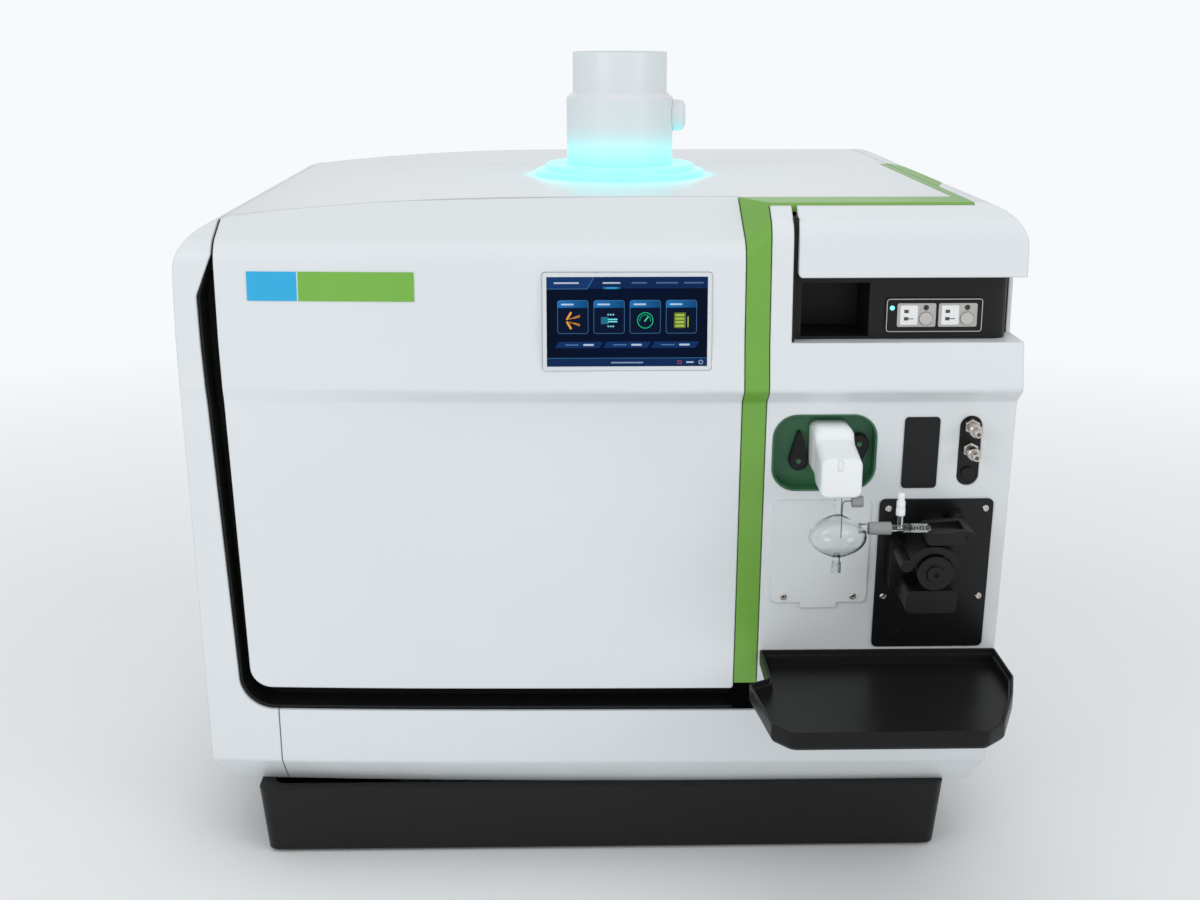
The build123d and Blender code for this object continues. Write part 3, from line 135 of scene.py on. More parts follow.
class Shader:
    """One material, or the world where holder is given, and the nodes in it."""

    def __init__(self, name, holder=None):
        self.material = holder or bpy.data.materials.new(name)
        self.material.use_nodes = True
        self.tree = self.material.node_tree
        self.tree.nodes.clear()

    def node(self, kind, settings=(), values=(), output=0):
        """Adds a node: its settings first, then the value or link of each socket named in values."""
        made = self.tree.nodes.new(kind)
        for key, value in dict(settings).items():
            setattr(made, key, value)
        for key, value in dict(values).items():
            if isinstance(value, Signal):
                self.tree.links.new(value.socket, made.inputs[key])
            else:
                made.inputs[key].default_value = value
        return Signal(self, made.outputs[output]) if made.outputs else None

    def place(self):
        """Object coordinates: the point as a vector, and as x, y and z."""
        point = self.node("ShaderNodeTexCoord", output="Object")
        axes = [self.node("ShaderNodeSeparateXYZ", (), {0: point}, output=axis) for axis in "XYZ"]
        return point, *axes

    def noise(self, point, scale, detail=2.0):
        """Noise between 0 and 1 with scale cells to the metre."""
        return self.node("ShaderNodeTexNoise", (), {"Vector": point, "Scale": scale, "Detail": detail})

    def mix(self, share, first, second):
        """Colour that goes from first to second as share goes from 0 to 1."""
        values = {0: share, 6: first, 7: second}
        return self.node("ShaderNodeMix", {"data_type": "RGBA"}, values, output=2)

    def edge_normal(self, radius, samples=4):
        """Normal that rounds the edges of a solid by radius."""
        return self.node("ShaderNodeBevel", {"samples": samples}, {"Radius": radius})

    def bump(self, height, distance, normal):
        values = {"Height": height, "Distance": distance, "Strength": 1.0, "Normal": normal}
        return self.node("ShaderNodeBump", (), values)

    def surface(self, base, roughness, normal=None, **fixed):
        """Principled surface; fixed values are set on its own sockets."""
        values = {"Base Color": base, "Roughness": roughness}
        values.update({key.replace("_", " "): value for key, value in fixed.items()})
        if normal is not None:
            values["Normal"] = normal
        return self.node("ShaderNodeBsdfPrincipled", (), values)

    def end(self, surface, kind="ShaderNodeOutputMaterial"):
        """Joins the surface to the output node."""
        self.node(kind, (), {"Surface": surface})
        return self.material

    def finish(self, base, roughness, normal=None, **fixed):
        """Ends the material in one Principled surface."""
        return self.end(self.surface(base, roughness, normal, **fixed))


def rgb(red, green, blue):
    """Opaque linear colour from display values between 0 and 255."""
    def linear(value):
        share = value / 255
        return share / 12.92 if share <= 0.04045 else ((share + 0.055) / 1.055) ** 2.4

    return (linear(red), linear(green), linear(blue), 1.0)


def shade(colour, factor):
    return tuple(min(1.0, part * factor) for part in colour[:3]) + (1.0,)


# ---------------------------------------------------------------- finishes
# Cyan of the light ring. Its glow is also painted onto the white shells around it as colour and emission
# (ring_glow).
glow_colour = rgb(120, 250, 250)
glow_radius = 94 * MM
glow_height = 708 * MM
glow_band = 8 * MM
glow_beside = 22 * MM
glow_above = 45 * MM


def ring_glow(x, y, z):
    """Share of the ring's light painted on a white surface: 1 at the ring, falling to 0 at glow_beside outside it
    and at glow_above over it."""
    across = ((x - duct_place[0]) ** 2.0 + (y - duct_place[1]) ** 2.0) ** 0.5
    beside = (1.0 - (across - glow_radius).most(0.0) / glow_beside).clamp()
    above = (1.0 - (abs(z - glow_height) - glow_band).most(0.0) / glow_above).clamp()
    return (beside * above) ** 1.8


def moulded(name, colour, roughness, edge=1.5 * MM, grain=4e-6, lit=False, **fixed):
    """Moulded or coated shell: fine grain in the skin, gloss and colour that drift a little, soft edges; where
    lit, the light ring's glow is painted into its colour and emission.
    """
    shader = Shader(name)
    point, x, y, z = shader.place()
    slow = shader.noise(point, 5.0, 3.0)
    fine = shader.noise(point, 900.0, 2.0)
    base = shader.mix(slow, shade(colour, 0.97), shade(colour, 1.03))
    gloss = roughness + (slow - 0.5) * 0.10 + (fine - 0.5) * 0.04
    normal = shader.bump(fine, grain, shader.edge_normal(edge))
    if lit:
        # Painted light: the light ring's cyan glow is painted into the shell's colour and emission, strongest next
        # to the ring.
        share = ring_glow(x, y, z)
        base = shader.mix(share * 0.7, base, glow_colour)
        fixed["Emission_Color"] = shader.mix(share, rgb(0, 0, 0), glow_colour)
        fixed["Emission_Strength"] = 0.6
    return shader.finish(base, gloss, normal, **fixed)


def metal(name, colour, roughness, streak=(40.0, 40.0, 900.0), depth=3e-6, edge=0.4 * MM):
    """Bare metal with fine streaks; streak gives the cells to the metre along X, Y and Z."""
    shader = Shader(name)
    point, _, _, _ = shader.place()
    stretched = shader.node("ShaderNodeMapping", (), {"Vector": point, "Scale": streak})
    lines = shader.noise(stretched, 1.0, 3.0)
    slow = shader.noise(point, 12.0, 2.0)
    base = shader.mix(slow, shade(colour, 0.92), shade(colour, 1.05))
    gloss = roughness + (lines - 0.5) * 0.16
    return shader.finish(base, gloss, shader.bump(lines, depth, shader.edge_normal(edge)), Metallic=1.0)


def clear(name, colour, roughness, ior):
    """Clear glass or plastic with faint ripples of the gloss."""
    shader = Shader(name)
    point, _, _, _ = shader.place()
    ripple = shader.noise(point, 60.0, 2.0)
    gloss = roughness + ripple * 0.02
    return shader.finish(colour, gloss, Transmission_Weight=1.0, IOR=ior)


def glowing(name, colour, strength):
    """Light guide whose glow wavers a little with noise."""
    shader = Shader(name)
    point, _, _, _ = shader.place()
    waver = shader.noise(point, 30.0, 1.0)
    light = shader.mix(waver, shade(colour, 0.92), colour)
    return shader.finish(colour, 0.3, Emission_Color=light, Emission_Strength=strength)


# Flat drawings on a plate: u and v are in millimetres, right and up from the plate's middle.
def box_mask(u, v, centre, half, corner=0.0, soft=0.18, line=None):
    """1 inside a rounded rectangle, or on its outline where line gives the outline's width."""
    right = abs(u - centre[0]) - (half[0] - corner)
    above = abs(v - centre[1]) - (half[1] - corner)
    outer = (right.most(0.0) ** 2.0 + above.most(0.0) ** 2.0) ** 0.5
    distance = outer + right.most(above).least(0.0) - corner
    if line:
        distance = abs(distance + line / 2) - line / 2
    return (0.5 - distance / soft).clamp()


def line_mask(u, v, start, end, width, soft=0.18):
    """1 on a straight stroke with round ends."""
    run = (end[0] - start[0], end[1] - start[1])
    length = run[0] ** 2 + run[1] ** 2
    du = u - start[0]
    dv = v - start[1]
    along = ((du * run[0] + dv * run[1]) / length).clamp()
    distance = ((du - along * run[0]) ** 2.0 + (dv - along * run[1]) ** 2.0) ** 0.5
    return (0.5 - (distance - width / 2) / soft).clamp()


def ring_mask(u, v, centre, radius, width=None, soft=0.18):
    """1 inside a disc, or on a circle where width gives the stroke."""
    reach = ((u - centre[0]) ** 2.0 + (v - centre[1]) ** 2.0) ** 0.5 - radius
    distance = reach if width is None else abs(reach) - width / 2
    return (0.5 - distance / soft).clamp()


def touch_screen():
    """Backlit control screen: a top bar with tabs, four tiles with plain signs, data bars, a foot bar."""
    shader = Shader("touch_screen")
    low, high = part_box("screen_glass")
    _, x, _, z = shader.place()
    u = (x - (low.x + high.x) / 2) * 1000.0
    v = (z - (low.z + high.z) / 2) * 1000.0

    glow = (1.0 - (u / 95.0) ** 2.0).clamp()
    colour = shader.mix(glow, rgb(4, 12, 30), rgb(0, 14, 44))

    def paint(mask, tint):
        nonlocal colour
        colour = shader.mix(mask, colour, tint)

    # Top bar, its slanted title field and the tabs, with the first tab lit.
    top_bar = box_mask(u, v, (0, 38.5), (80, 6.6))
    paint(top_bar * 0.9, rgb(14, 44, 92))
    title = (0.5 - (u - (v - 31.0) * 0.55 + 38.0) / 0.3).clamp() * top_bar
    paint(title, rgb(22, 58, 112))
    paint(line_mask(u, v, (-38.2, 31.6), (-31.5, 43.0), 0.35), rgb(90, 160, 210))
    paint(line_mask(u, v, (-77, 31.6), (-38.2, 31.6), 0.35), rgb(70, 140, 195))
    for middle, half, tint in (
        (-58.0, 12.0, rgb(215, 225, 240)),
        (-15.0, 8.5, rgb(205, 220, 240)),
        (11.5, 7.5, rgb(88, 116, 156)),
        (38.0, 10.5, rgb(88, 116, 156)),
        (63.5, 9.5, rgb(88, 116, 156)),
    ):
        paint(box_mask(u, v, (middle, 37.2), (half, 0.75), 0.7) * 0.8, tint)
    spread = (1.0 - ((u + 15.0) / 9.0) ** 2.0).clamp() * (1.0 - abs(v - 32.4) / 1.3).clamp()
    paint(spread, rgb(60, 190, 245))

    # Four tiles: the drawing repeats every tile_pitch.
    tile_pitch = 34.6
    local = (u + 2 * tile_pitch).math("MODULO", tile_pitch) - tile_pitch / 2
    row = box_mask(u, v, (0, 4.8), (2 * tile_pitch - 1, 17))
    fill = box_mask(local, v, (0, 4.8), (14.8, 16.0), 2.6) * row
    paint(fill, rgb(5, 20, 48))
    header = fill * ((v - 13.4) / 0.4).clamp()
    paint(header * (0.35 + ((local * -1.0) + 15.0) / 42.0).clamp(), rgb(28, 116, 186))
    paint(box_mask(local, v, (0, 4.8), (14.8, 16.0), 2.6, line=0.45) * row * 0.8, rgb(76, 132, 178))
    paint(box_mask(local, v, (-5.2, 16.8), (6.0, 0.8), 0.7) * row * 0.8, rgb(210, 228, 245))

    # Signs: cones, a torch flame, a gauge and a list.
    middles = [(tile - 1.5) * tile_pitch for tile in range(4)]
    orange = rgb(247, 168, 62)
    for side in (-1, 1):
        foot = (middles[0] - 5.4, 1.4 + side * 1.6)
        tip = (middles[0] - 2.0, 1.4 + side * 7.4)
        paint(line_mask(u, v, foot, tip, 2.0), orange)
        for start, end in (((-3.0, 1.4), (6.4, 5.0)), ((1.2, 2.2), (6.4, 3.6))):
            begin = (middles[0] + start[0], 1.4 + side * start[1])
            paint(line_mask(u, v, begin, (middles[0] + end[0], 1.4 + side * end[1]), 0.8), rgb(214, 138, 56))
    cyan = rgb(118, 236, 240)
    paint(box_mask(u, v, (middles[1] - 4.2, 1.4), (3.6, 3.4), 0.5), rgb(36, 116, 142))
    paint(line_mask(u, v, (middles[1] - 0.6, 2.5), (middles[1] + 7.4, 2.5), 1.3), cyan)
    paint(line_mask(u, v, (middles[1] - 0.6, 0.3), (middles[1] + 7.4, 0.3), 1.3), cyan)
    for dot in (-2.4, 0.0, 2.4):
        for side in (-1, 1):
            paint(ring_mask(u, v, (middles[1] + 1.6 + dot, 1.4 + side * 5.6), 0.8), rgb(150, 226, 232))
    green = rgb(32, 196, 134)
    paint(ring_mask(u, v, (middles[2], 1.4), 7.4, 0.8), green)
    paint(ring_mask(u, v, (middles[2], 1.4), 5.2, 0.5) * ((v - 0.2) / 0.4).clamp(), green)
    paint(line_mask(u, v, (middles[2] - 0.4, 0.8), (middles[2] + 2.6, 4.6), 1.3), rgb(70, 224, 160))
    leaf = rgb(176, 200, 78)
    paint(box_mask(u, v, (middles[3] - 1.4, 1.4), (5.6, 7.4), 1.0), rgb(104, 126, 50))
    for line in range(4):
        paint(box_mask(u, v, (middles[3] - 1.4, 6.4 - line * 3.4), (4.2, 1.0), 0.3), leaf)
    paint(line_mask(u, v, (middles[3] + 6.4, -4.8), (middles[3] + 6.4, 4.6), 1.0), leaf)

    # Three slanted data bars, and the foot bar with its small signs.
    skew = u - (v + 22.0) * 0.6
    for middle in (-46.0, 0.0, 46.0):
        bar = box_mask(skew, v, (middle, -22.0), (21.4, 3.0))
        paint(bar, rgb(16, 50, 104))
        paint(box_mask(u, v, (middle - 7.0, -22.0), (6.5, 0.5), 0.4), rgb(90, 126, 176))
        paint(box_mask(u, v, (middle + 9.0, -22.0), (5.0, 0.9), 0.6), rgb(190, 206, 230))
    paint(box_mask(u, v, (0, -39.4), (80, 4.6)), rgb(16, 44, 88))
    paint(box_mask(u, v, (0, -34.8), (76.5, 0.2)), rgb(60, 130, 176))
    paint(box_mask(u, v, (0, -39.2), (15.5, 0.7), 0.6) * 0.8, rgb(150, 172, 204))
    paint(box_mask(u, v, (50.5, -39.0), (1.9, 1.5), 0.4, line=0.5), rgb(196, 74, 92))
    paint(box_mask(u, v, (60.5, -39.0), (3.6, 0.7), 0.6), rgb(190, 206, 230))
    paint(ring_mask(u, v, (71.0, -39.0), 1.8, 0.8), rgb(160, 184, 214))
    dark = rgb(2, 3, 6)
    return shader.finish(dark, 0.1, Emission_Color=colour, Emission_Strength=0.9, Specular_IOR_Level=0.05)


def name_plate():
    """Bare plate: a blue field, a thin pale line and a green field."""
    shader = Shader("name_plate")
    low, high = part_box("nameplate")
    point, x, _, _ = shader.place()
    split = low.x + 49 * MM
    slow = shader.noise(point, 20.0, 2.0)
    green = shader.mix(slow, rgb(118, 180, 66), rgb(126, 188, 74))
    right = ((x - split) / (0.2 * MM)).clamp()
    line = (1.0 - abs(x - split) / (0.8 * MM)).clamp()
    colour = shader.mix(line, shader.mix(right, rgb(40, 176, 228), green), rgb(235, 240, 240))
    return shader.finish(colour, 0.3 + (slow - 0.5) * 0.08)


def button_pad():
    """Pale pads, each with a white field of plain marks and a dark dot beside its button."""
    shader = Shader("button_pad")
    point, x, _, z = shader.place()
    fine = shader.noise(point, 700.0, 2.0)
    colour = shader.mix(fine, rgb(176, 174, 170), rgb(190, 188, 184))
    low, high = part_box("button_pads")
    height = (z - (low.z + high.z) / 2) * 1000.0
    pad_marks = (((-10.0, 3.6), (2.2, 1.7)), ((-10.0, -3.6), (2.2, 1.7)), ((-5.2, -3.6), (2.6, 0.45)))
    for name in ("button_left", "button_right"):
        button_low, button_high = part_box(name)
        middle = (button_low.x + button_high.x) / 2 - 9 * MM
        u = (x - middle) * 1000.0
        colour = shader.mix(box_mask(u, height, (-7.4, 0), (8.4, 9.4), 1.2), colour, rgb(240, 241, 240))
        for mark, size in pad_marks:
            colour = shader.mix(box_mask(u, height, mark, size, 0.4), colour, rgb(70, 72, 74))
        colour = shader.mix(ring_mask(u, height, (9.0, 7.4), 2.7), colour, rgb(34, 32, 31))
        colour = shader.mix(ring_mask(u, height, (9.0, 7.4), 1.3, 0.5), colour, rgb(66, 62, 60))
    return shader.finish(colour, 0.34, shader.edge_normal(0.5 * MM))


white = rgb(229, 233, 235)
black = rgb(20, 20, 20)
sheen = {"Specular_IOR_Level": 0.3}
tray_sheen = {"Specular_IOR_Level": 0.15}
finishes = {
    # The white shells carry the light ring's glow as painted light (lit=True).
    "white_paint": moulded("white_paint", white, 0.36, edge=2.2 * MM, lit=True, Coat_Weight=0.12),
    "white_plastic": moulded("white_plastic", white, 0.34, edge=2.2 * MM, lit=True, Coat_Weight=0.12),
    "mount_white": moulded("mount_white", rgb(243, 246, 246), 0.28, edge=3.0 * MM, Coat_Weight=0.3),
    "black_plastic": moulded("black_plastic", black, 0.42, edge=0.8 * MM, grain=8e-6, **sheen),
    "black_gloss": moulded("black_gloss", rgb(18, 18, 19), 0.32, edge=0.6 * MM, **sheen),
    "black_tray": moulded("black_tray", rgb(28, 28, 28), 0.34, edge=1.4 * MM, grain=6e-6, **tray_sheen),
    "green_plastic": moulded("green_plastic", rgb(116, 172, 66), 0.36, edge=1.6 * MM),
    "dark_green": moulded("dark_green", rgb(54, 112, 76), 0.40, edge=1.0 * MM),
    "grey_plastic": moulded("grey_plastic", rgb(146, 148, 147), 0.45, edge=0.4 * MM),
    "button_grey": moulded("button_grey", rgb(196, 193, 188), 0.40, edge=0.6 * MM),
    "pad_white": button_pad(),
    "pale_bezel": moulded("pale_bezel", rgb(222, 227, 229), 0.34, edge=0.8 * MM),
    "screen": touch_screen(),
    "nameplate": name_plate(),
    "light": glowing("light", glow_colour, 1.3),
    "glass": clear("glass", (0.97, 0.985, 0.98, 1.0), 0.01, 1.47),
    "clear_plastic": clear("clear_plastic", (0.9, 0.92, 0.92, 1.0), 0.16, 1.36),
    "nickel": metal("nickel", rgb(206, 200, 192), 0.20),
    "steel": metal("steel", rgb(176, 179, 182), 0.34, streak=(30.0, 30.0, 700.0)),
    "aluminium": metal("aluminium", rgb(190, 193, 196), 0.36, streak=(500.0, 40.0, 40.0)),
    "copper": metal("copper", rgb(196, 120, 82), 0.26),
    "brass": metal("brass", rgb(196, 164, 98), 0.28),
    "rubber": moulded("rubber", rgb(26, 26, 27), 0.65, edge=1.0 * MM, grain=2e-5),
}

slot_of = {entry["node"]: entry["material_slot"] for entry in record["subparts"]}
for node_name, node in frame["nodes"].items():
    node.data.materials.clear()
    node.data.materials.append(finishes[slot_of[node_name]])
    weld = node.modifiers.new("join_triangles", "WELD")
    weld.merge_threshold = 0.01 * MM
    split = node.modifiers.new("keep_corners", "EDGE_SPLIT")
    split.split_angle = math.radians(24)
    node.data.polygons.foreach_set("use_smooth", np.ones(len(node.data.polygons), bool))


# ---------------------------------------------------------------- surfaces
def rounded(corners, radii, steps=6, closed=False):
    """Line through corners with each one cut by an arc: the arc touches both sides at
    radius * tan(turn / 2) from the corner, and its middle lies radius / cos(turn / 2) from the corner."""
    corners = np.array(corners, float)
    count = len(corners)
    made = []
    for index, (corner, radius) in enumerate(zip(corners, radii)):
        if radius == 0 or (not closed and index in (0, count - 1)):
            made.append(corner[None])
            continue
        before = corners[index - 1] - corner
        after = corners[(index + 1) % count] - corner
        before /= np.linalg.norm(before)
        after /= np.linalg.norm(after)
        half = math.acos(np.clip(before @ after, -1, 1)) / 2
        bisector = (before + after) / np.linalg.norm(before + after)
        centre = corner + bisector * radius / math.sin(half)
        first = corner + before * radius / math.tan(half) - centre
        last = corner + after * radius / math.tan(half) - centre
        share = np.linspace(0, 1, steps + 1)[:, None]
        turn = math.pi - 2 * half
        arc = (first * np.sin((1 - share) * turn) + last * np.sin(share * turn)) / math.sin(turn)
        made.append(centre + arc)
    return np.concatenate(made)


def build(name, grids, finish, body, replaces=(), corner=30):
    """Piece from grids of points: each grid is (points, wrap, caps), a rows x columns x 3 array whose
    columns close into a ring where wrap is true and whose first and last rows are capped where caps is."""
    shape = bmesh.new()
    for points, wrap, caps in grids:
        rows, columns = points.shape[:2]
        index = np.arange(rows * columns).reshape(rows, columns)
        across = np.roll(index, -1, axis=1) if wrap else index[:, 1:]
        kept = index if wrap else index[:, :-1]
        faces = np.stack([kept[:-1], across[:-1], across[1:], kept[1:]], axis=-1).reshape(-1, 4).tolist()
        if caps:
            faces += [index[0].tolist()[::-1], index[-1].tolist()]
        mesh = bpy.data.meshes.new(name)
        mesh.from_pydata(points.reshape(-1, 3).tolist(), [], faces)
        shape.from_mesh(mesh)
        bpy.data.meshes.remove(mesh)
    bmesh.ops.remove_doubles(shape, verts=shape.verts, dist=1e-7)
    bmesh.ops.recalc_face_normals(shape, faces=shape.faces)
    mesh = bpy.data.meshes.new(name)
    shape.to_mesh(mesh)
    shape.free()
    mesh.polygons.foreach_set("use_smooth", np.ones(len(mesh.polygons), bool))
    mesh.materials.append(finishes[finish])
    piece = bpy.data.objects.new(name, mesh)
    bpy.context.scene.collection.objects.link(piece)
    edges = piece.modifiers.new("keep_corners", "EDGE_SPLIT")
    edges.split_angle = math.radians(corner)
    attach(piece, body)
    if replaces:
        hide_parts(*replaces)


def turned(profile, centre, axis, across, count=96, sides=None):
    """Surface of revolution: a profile point (radius, along) goes to
    centre + along * axis + radius * (cos a * across + sin a * up). With sides, the radius is divided by
    cos of the angle from the middle of each flat, which makes a prism with that many flats."""
    profile = np.array(profile, float)
    axis = np.array(axis, float) / np.linalg.norm(axis)
    across = np.array(across, float) / np.linalg.norm(across)
    up = np.cross(axis, across)
    angle = np.linspace(0, 2 * math.pi, count, endpoint=False)
    radial = np.cos(angle)[:, None] * across + np.sin(angle)[:, None] * up
    if sides:
        step = 2 * math.pi / sides
        radial = radial / np.cos((angle + step / 2) % step - step / 2)[:, None]
    points = np.array(centre) + profile[:, None, 1:] * axis + profile[:, None, :1] * radial[None]
    return points, True, False


def solid_turned(profile, centre, axis, across, count=96, sides=None):
    """A turned surface closed at both ends on its axis."""
    profile = np.array(profile, float)
    start = [[0.0, profile[0, 1]]]
    end = [[0.0, profile[-1, 1]]]
    return turned(np.concatenate([start, profile, end]), centre, axis, across, count, sides)


UP = (0.0, 0.0, 1.0)
RIGHT = (1.0, 0.0, 0.0)

# ---------------------------------------------------------------- exhaust
flange_low, flange_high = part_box("exhaust_flange")
ring_low, ring_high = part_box("light_ring")
stack_low, stack_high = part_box("exhaust_stack")
duct_axis = np.array([duct_place[0], duct_place[1], 0.0])
flange_radius = flange_high.x - duct_axis[0]
ring_radius = ring_high.x - duct_axis[0]
collar_radius = stack_high.x - duct_axis[0]
duct_radius = 53 * MM
duct_bore = 50.5 * MM
neck = 788 * MM
ring_gap = 0.3 * MM
round_count = 128

stack_profile = rounded(
    [
        (duct_bore, stack_low.z),
        (collar_radius, stack_low.z),
        (collar_radius, neck),
        (duct_radius, neck + 6 * MM),
        (duct_radius, stack_high.z),
        (duct_bore, stack_high.z),
    ],
    [0, 0, 2 * MM, 2 * MM, 1.1 * MM, 1.1 * MM],
    closed=True,
)
stack_loop = np.concatenate([stack_profile, stack_profile[:1]])
stack_grid = turned(stack_loop, duct_axis, UP, RIGHT, round_count)
build("exhaust_pipe", [stack_grid], "white_plastic", "chassis", ["exhaust_stack"])

flange_profile = rounded(
    [
        (duct_bore, flange_low.z),
        (flange_radius, flange_low.z),
        (flange_radius, flange_high.z),
        (duct_bore, flange_high.z),
    ],
    [0, 0, 4 * MM, 0],
    closed=True,
)
flange_loop = np.concatenate([flange_profile, flange_profile[:1]])
flange_grid = turned(flange_loop, duct_axis, UP, RIGHT, round_count)
build("exhaust_base", [flange_grid], "white_plastic", "chassis", ["exhaust_flange"])

ring_profile = rounded(
    [
        (flange_radius + ring_gap, ring_low.z),
        (ring_radius, ring_low.z),
        (ring_radius, ring_high.z),
        (flange_radius + ring_gap, ring_high.z),
    ],
    [0, 0.4 * MM, 3 * MM, 0.4 * MM],
    closed=True,
)
ring_loop = np.concatenate([ring_profile, ring_profile[:1]])
ring_grid = turned(ring_loop, duct_axis, UP, RIGHT, round_count)
build("light_guide", [ring_grid], "light", "chassis", ["light_ring"])

# ---------------------------------------------------------------- screws with a domed head and a socket
screw_profile = rounded(
    [(3.6, 0), (3.6, 0.7), (2.6, 1.8), (1.7, 1.8), (1.5, 0.7), (0, 0.7)], [0, 0.4, 0.6, 0.15, 0, 0]
)
panel_seat = 1.6
pump_seat = 2.4
screws = []
for x, height, seat in (
    (188, 304, panel_seat),
    (259, 304, panel_seat),
    (290, 399.5, pump_seat),
    (387.5, 399.5, pump_seat),
    (290, 304, pump_seat),
    (387.5, 304, pump_seat),
):
    place = on_inlet(x * MM, height * MM, seat * MM)
    screws.append(turned(screw_profile * MM, place, inlet_out, inlet_right, 40))
build("face_screws", screws, "nickel", "chassis", ["panel_screws"])

# ---------------------------------------------------------------- gas fittings
# Hexagon, collar, knurled ring and bored tip, from the plate outwards; each is a profile and its flats.
fitting = [
    (rounded([(6.9, -2), (6.9, 6.4), (6.2, 7)], [0, 0.3, 0]), 6),
    (rounded([(4.6, 7), (4.6, 8.4), (5.8, 9), (5.8, 15.4), (4.8, 16)], [0, 0, 0.4, 0.4, 0]), None),
    (rounded([(4.8, 16), (6.6, 16.6), (6.6, 20.6), (5.6, 21.4)], [0, 0.5, 0.7, 0]), None),
    (rounded([(4.0, 21), (4.0, 29.4), (3.4, 30), (2.0, 30), (2.0, 12)], [0, 0.5, 0.3, 0.2, 0]), None),
]
fitting_x = 367
fitting_heights = (486, 462)
gas_pieces = []
for height in fitting_heights:
    base = on_inlet(fitting_x * MM, height * MM)
    for profile, sides in fitting:
        gas_pieces.append(solid_turned(profile * MM, base, inlet_out, inlet_right, 48, sides))
build("gas_fitting_set", gas_pieces, "nickel", "chassis", ["gas_fittings"])

# ---------------------------------------------------------------- torch mount
def lofted(sections, steps=7):
    """Surface through upright rounded rectangles; a section is left, right, low, high, corner and y."""
    rings = []
    for left, right, low, high, corner, y in sections:
        corners = [(left, low), (right, low), (right, high), (left, high)]
        line = rounded(corners, [corner] * 4, steps, closed=True)
        rings.append(np.stack([line[:, 0], np.full(len(line), y), line[:, 1]], axis=1))
    return np.stack(rings) * MM, True, True


front = front_y / MM
mount_left, mount_right = 209, 248
mount_sections = []
# Back to front: distance behind the front, bottom, top, distance in from the sides, corner.
for setback, low, high, inset, corner in (
    (37.0, 440.0, 489.0, 0.0, 8.0),
    (4.0, 440.0, 489.0, 0.0, 8.0),
    (1.0, 439.0, 487.6, 0.5, 8.0),
    (-2.0, 437.5, 484.0, 0.6, 7.5),
    (-6.0, 435.0, 479.2, 0.4, 7.0),
    (-12.0, 433.2, 477.6, 0.0, 7.0),
    (-44.5, 433.0, 471.6, 0.0, 7.0),
    (-46.6, 433.3, 471.1, 0.2, 6.8),
    (-47.6, 434.0, 470.2, 0.9, 6.2),
    (-48.0, 435.2, 469.0, 2.0, 5.4),
):
    mount_sections.append((mount_left + inset, mount_right - inset, low, high, corner, front + setback))
lip_left, lip_right = mount_left + 15.6, mount_left + 19.4
lip_low, lip_high = 460, 470.4
lip = [(lip_left, lip_right, lip_low, lip_high, 0.9, front + setback) for setback in (-46.0, -48.0, -48.7)]
lip.append((lip_left + 0.3, lip_right - 0.3, lip_low + 0.3, lip_high - 0.3, 0.8, front - 48.9))
build("torch_block", [lofted(mount_sections), lofted(lip, 4)], "mount_white", "chassis", ["torch_mount"])

# ---------------------------------------------------------------- glassware
glass_y = front_y - 40 * MM
chamber_axis = np.array([227.5 * MM, glass_y, 0.0])
chamber_height = 393.0
chamber_radius = 28.0
chamber_half = 21.0
glass_wall = 1.2
neck_radius = 3.8


def chamber_profile(wall, count=64):
    """Lens shaped bulb between two necks: its radius is neck + (wide - neck) * sin(a) ** 1.8 as a goes
    from 0 to pi and the height from bottom to top."""
    angle = np.linspace(0, math.pi, count)
    narrow = neck_radius - wall
    wide = chamber_radius - wall
    radius = narrow + (wide - narrow) * np.sin(angle) ** 1.8
    height = chamber_height - (chamber_half - wall) * np.cos(angle)
    return np.stack([radius, height], axis=1)


neck_top = 433.0
neck_bottom = 356.5
neck_bore = neck_radius - glass_wall
outer = np.concatenate([[(neck_radius, neck_bottom)], chamber_profile(0), [(neck_radius, neck_top)]])
inner = np.concatenate([[(neck_bore, neck_bottom)], chamber_profile(glass_wall), [(neck_bore, neck_top)]])
chamber_loop = np.concatenate([outer, inner[::-1], outer[:1]]) * MM
nebuliser_height = 400.5
line_start = np.array([0.0, glass_y, nebuliser_height * MM])
BACK = (0.0, 1.0, 0.0)
arm_loop = np.array([(5.0, 248), (5.0, 257), (3.2, 257), (3.2, 248), (5.0, 248)]) * MM
chamber = turned(chamber_loop, chamber_axis, UP, RIGHT, 96)
side_arm = turned(arm_loop, line_start, RIGHT, BACK, 48)
build("glass_chamber", [chamber, side_arm], "glass", "chassis", ["spray_chamber"])

sleeve_loop = rounded([(3.2, 257), (6.2, 257), (6.2, 279), (3.2, 279)], [0, 0.8, 0.8, 0], closed=True)
sleeve_loop = np.concatenate([sleeve_loop, sleeve_loop[:1]]) * MM
sleeve_grid = turned(sleeve_loop, line_start, RIGHT, BACK, 64)
build("frosted_sleeve", [sleeve_grid], "grey_plastic", "chassis", ["nebuliser_sleeve"])

tail_loop = rounded([(3.9, 356), (4.7, 356), (4.7, 367), (3.9, 367)], [0, 0.3, 0.3, 0], closed=True)
tail_loop = np.concatenate([tail_loop, tail_loop[:1]]) * MM
build("tail_sleeve", [turned(tail_loop, chamber_axis, UP, RIGHT, 48)], "clear_plastic", "chassis")

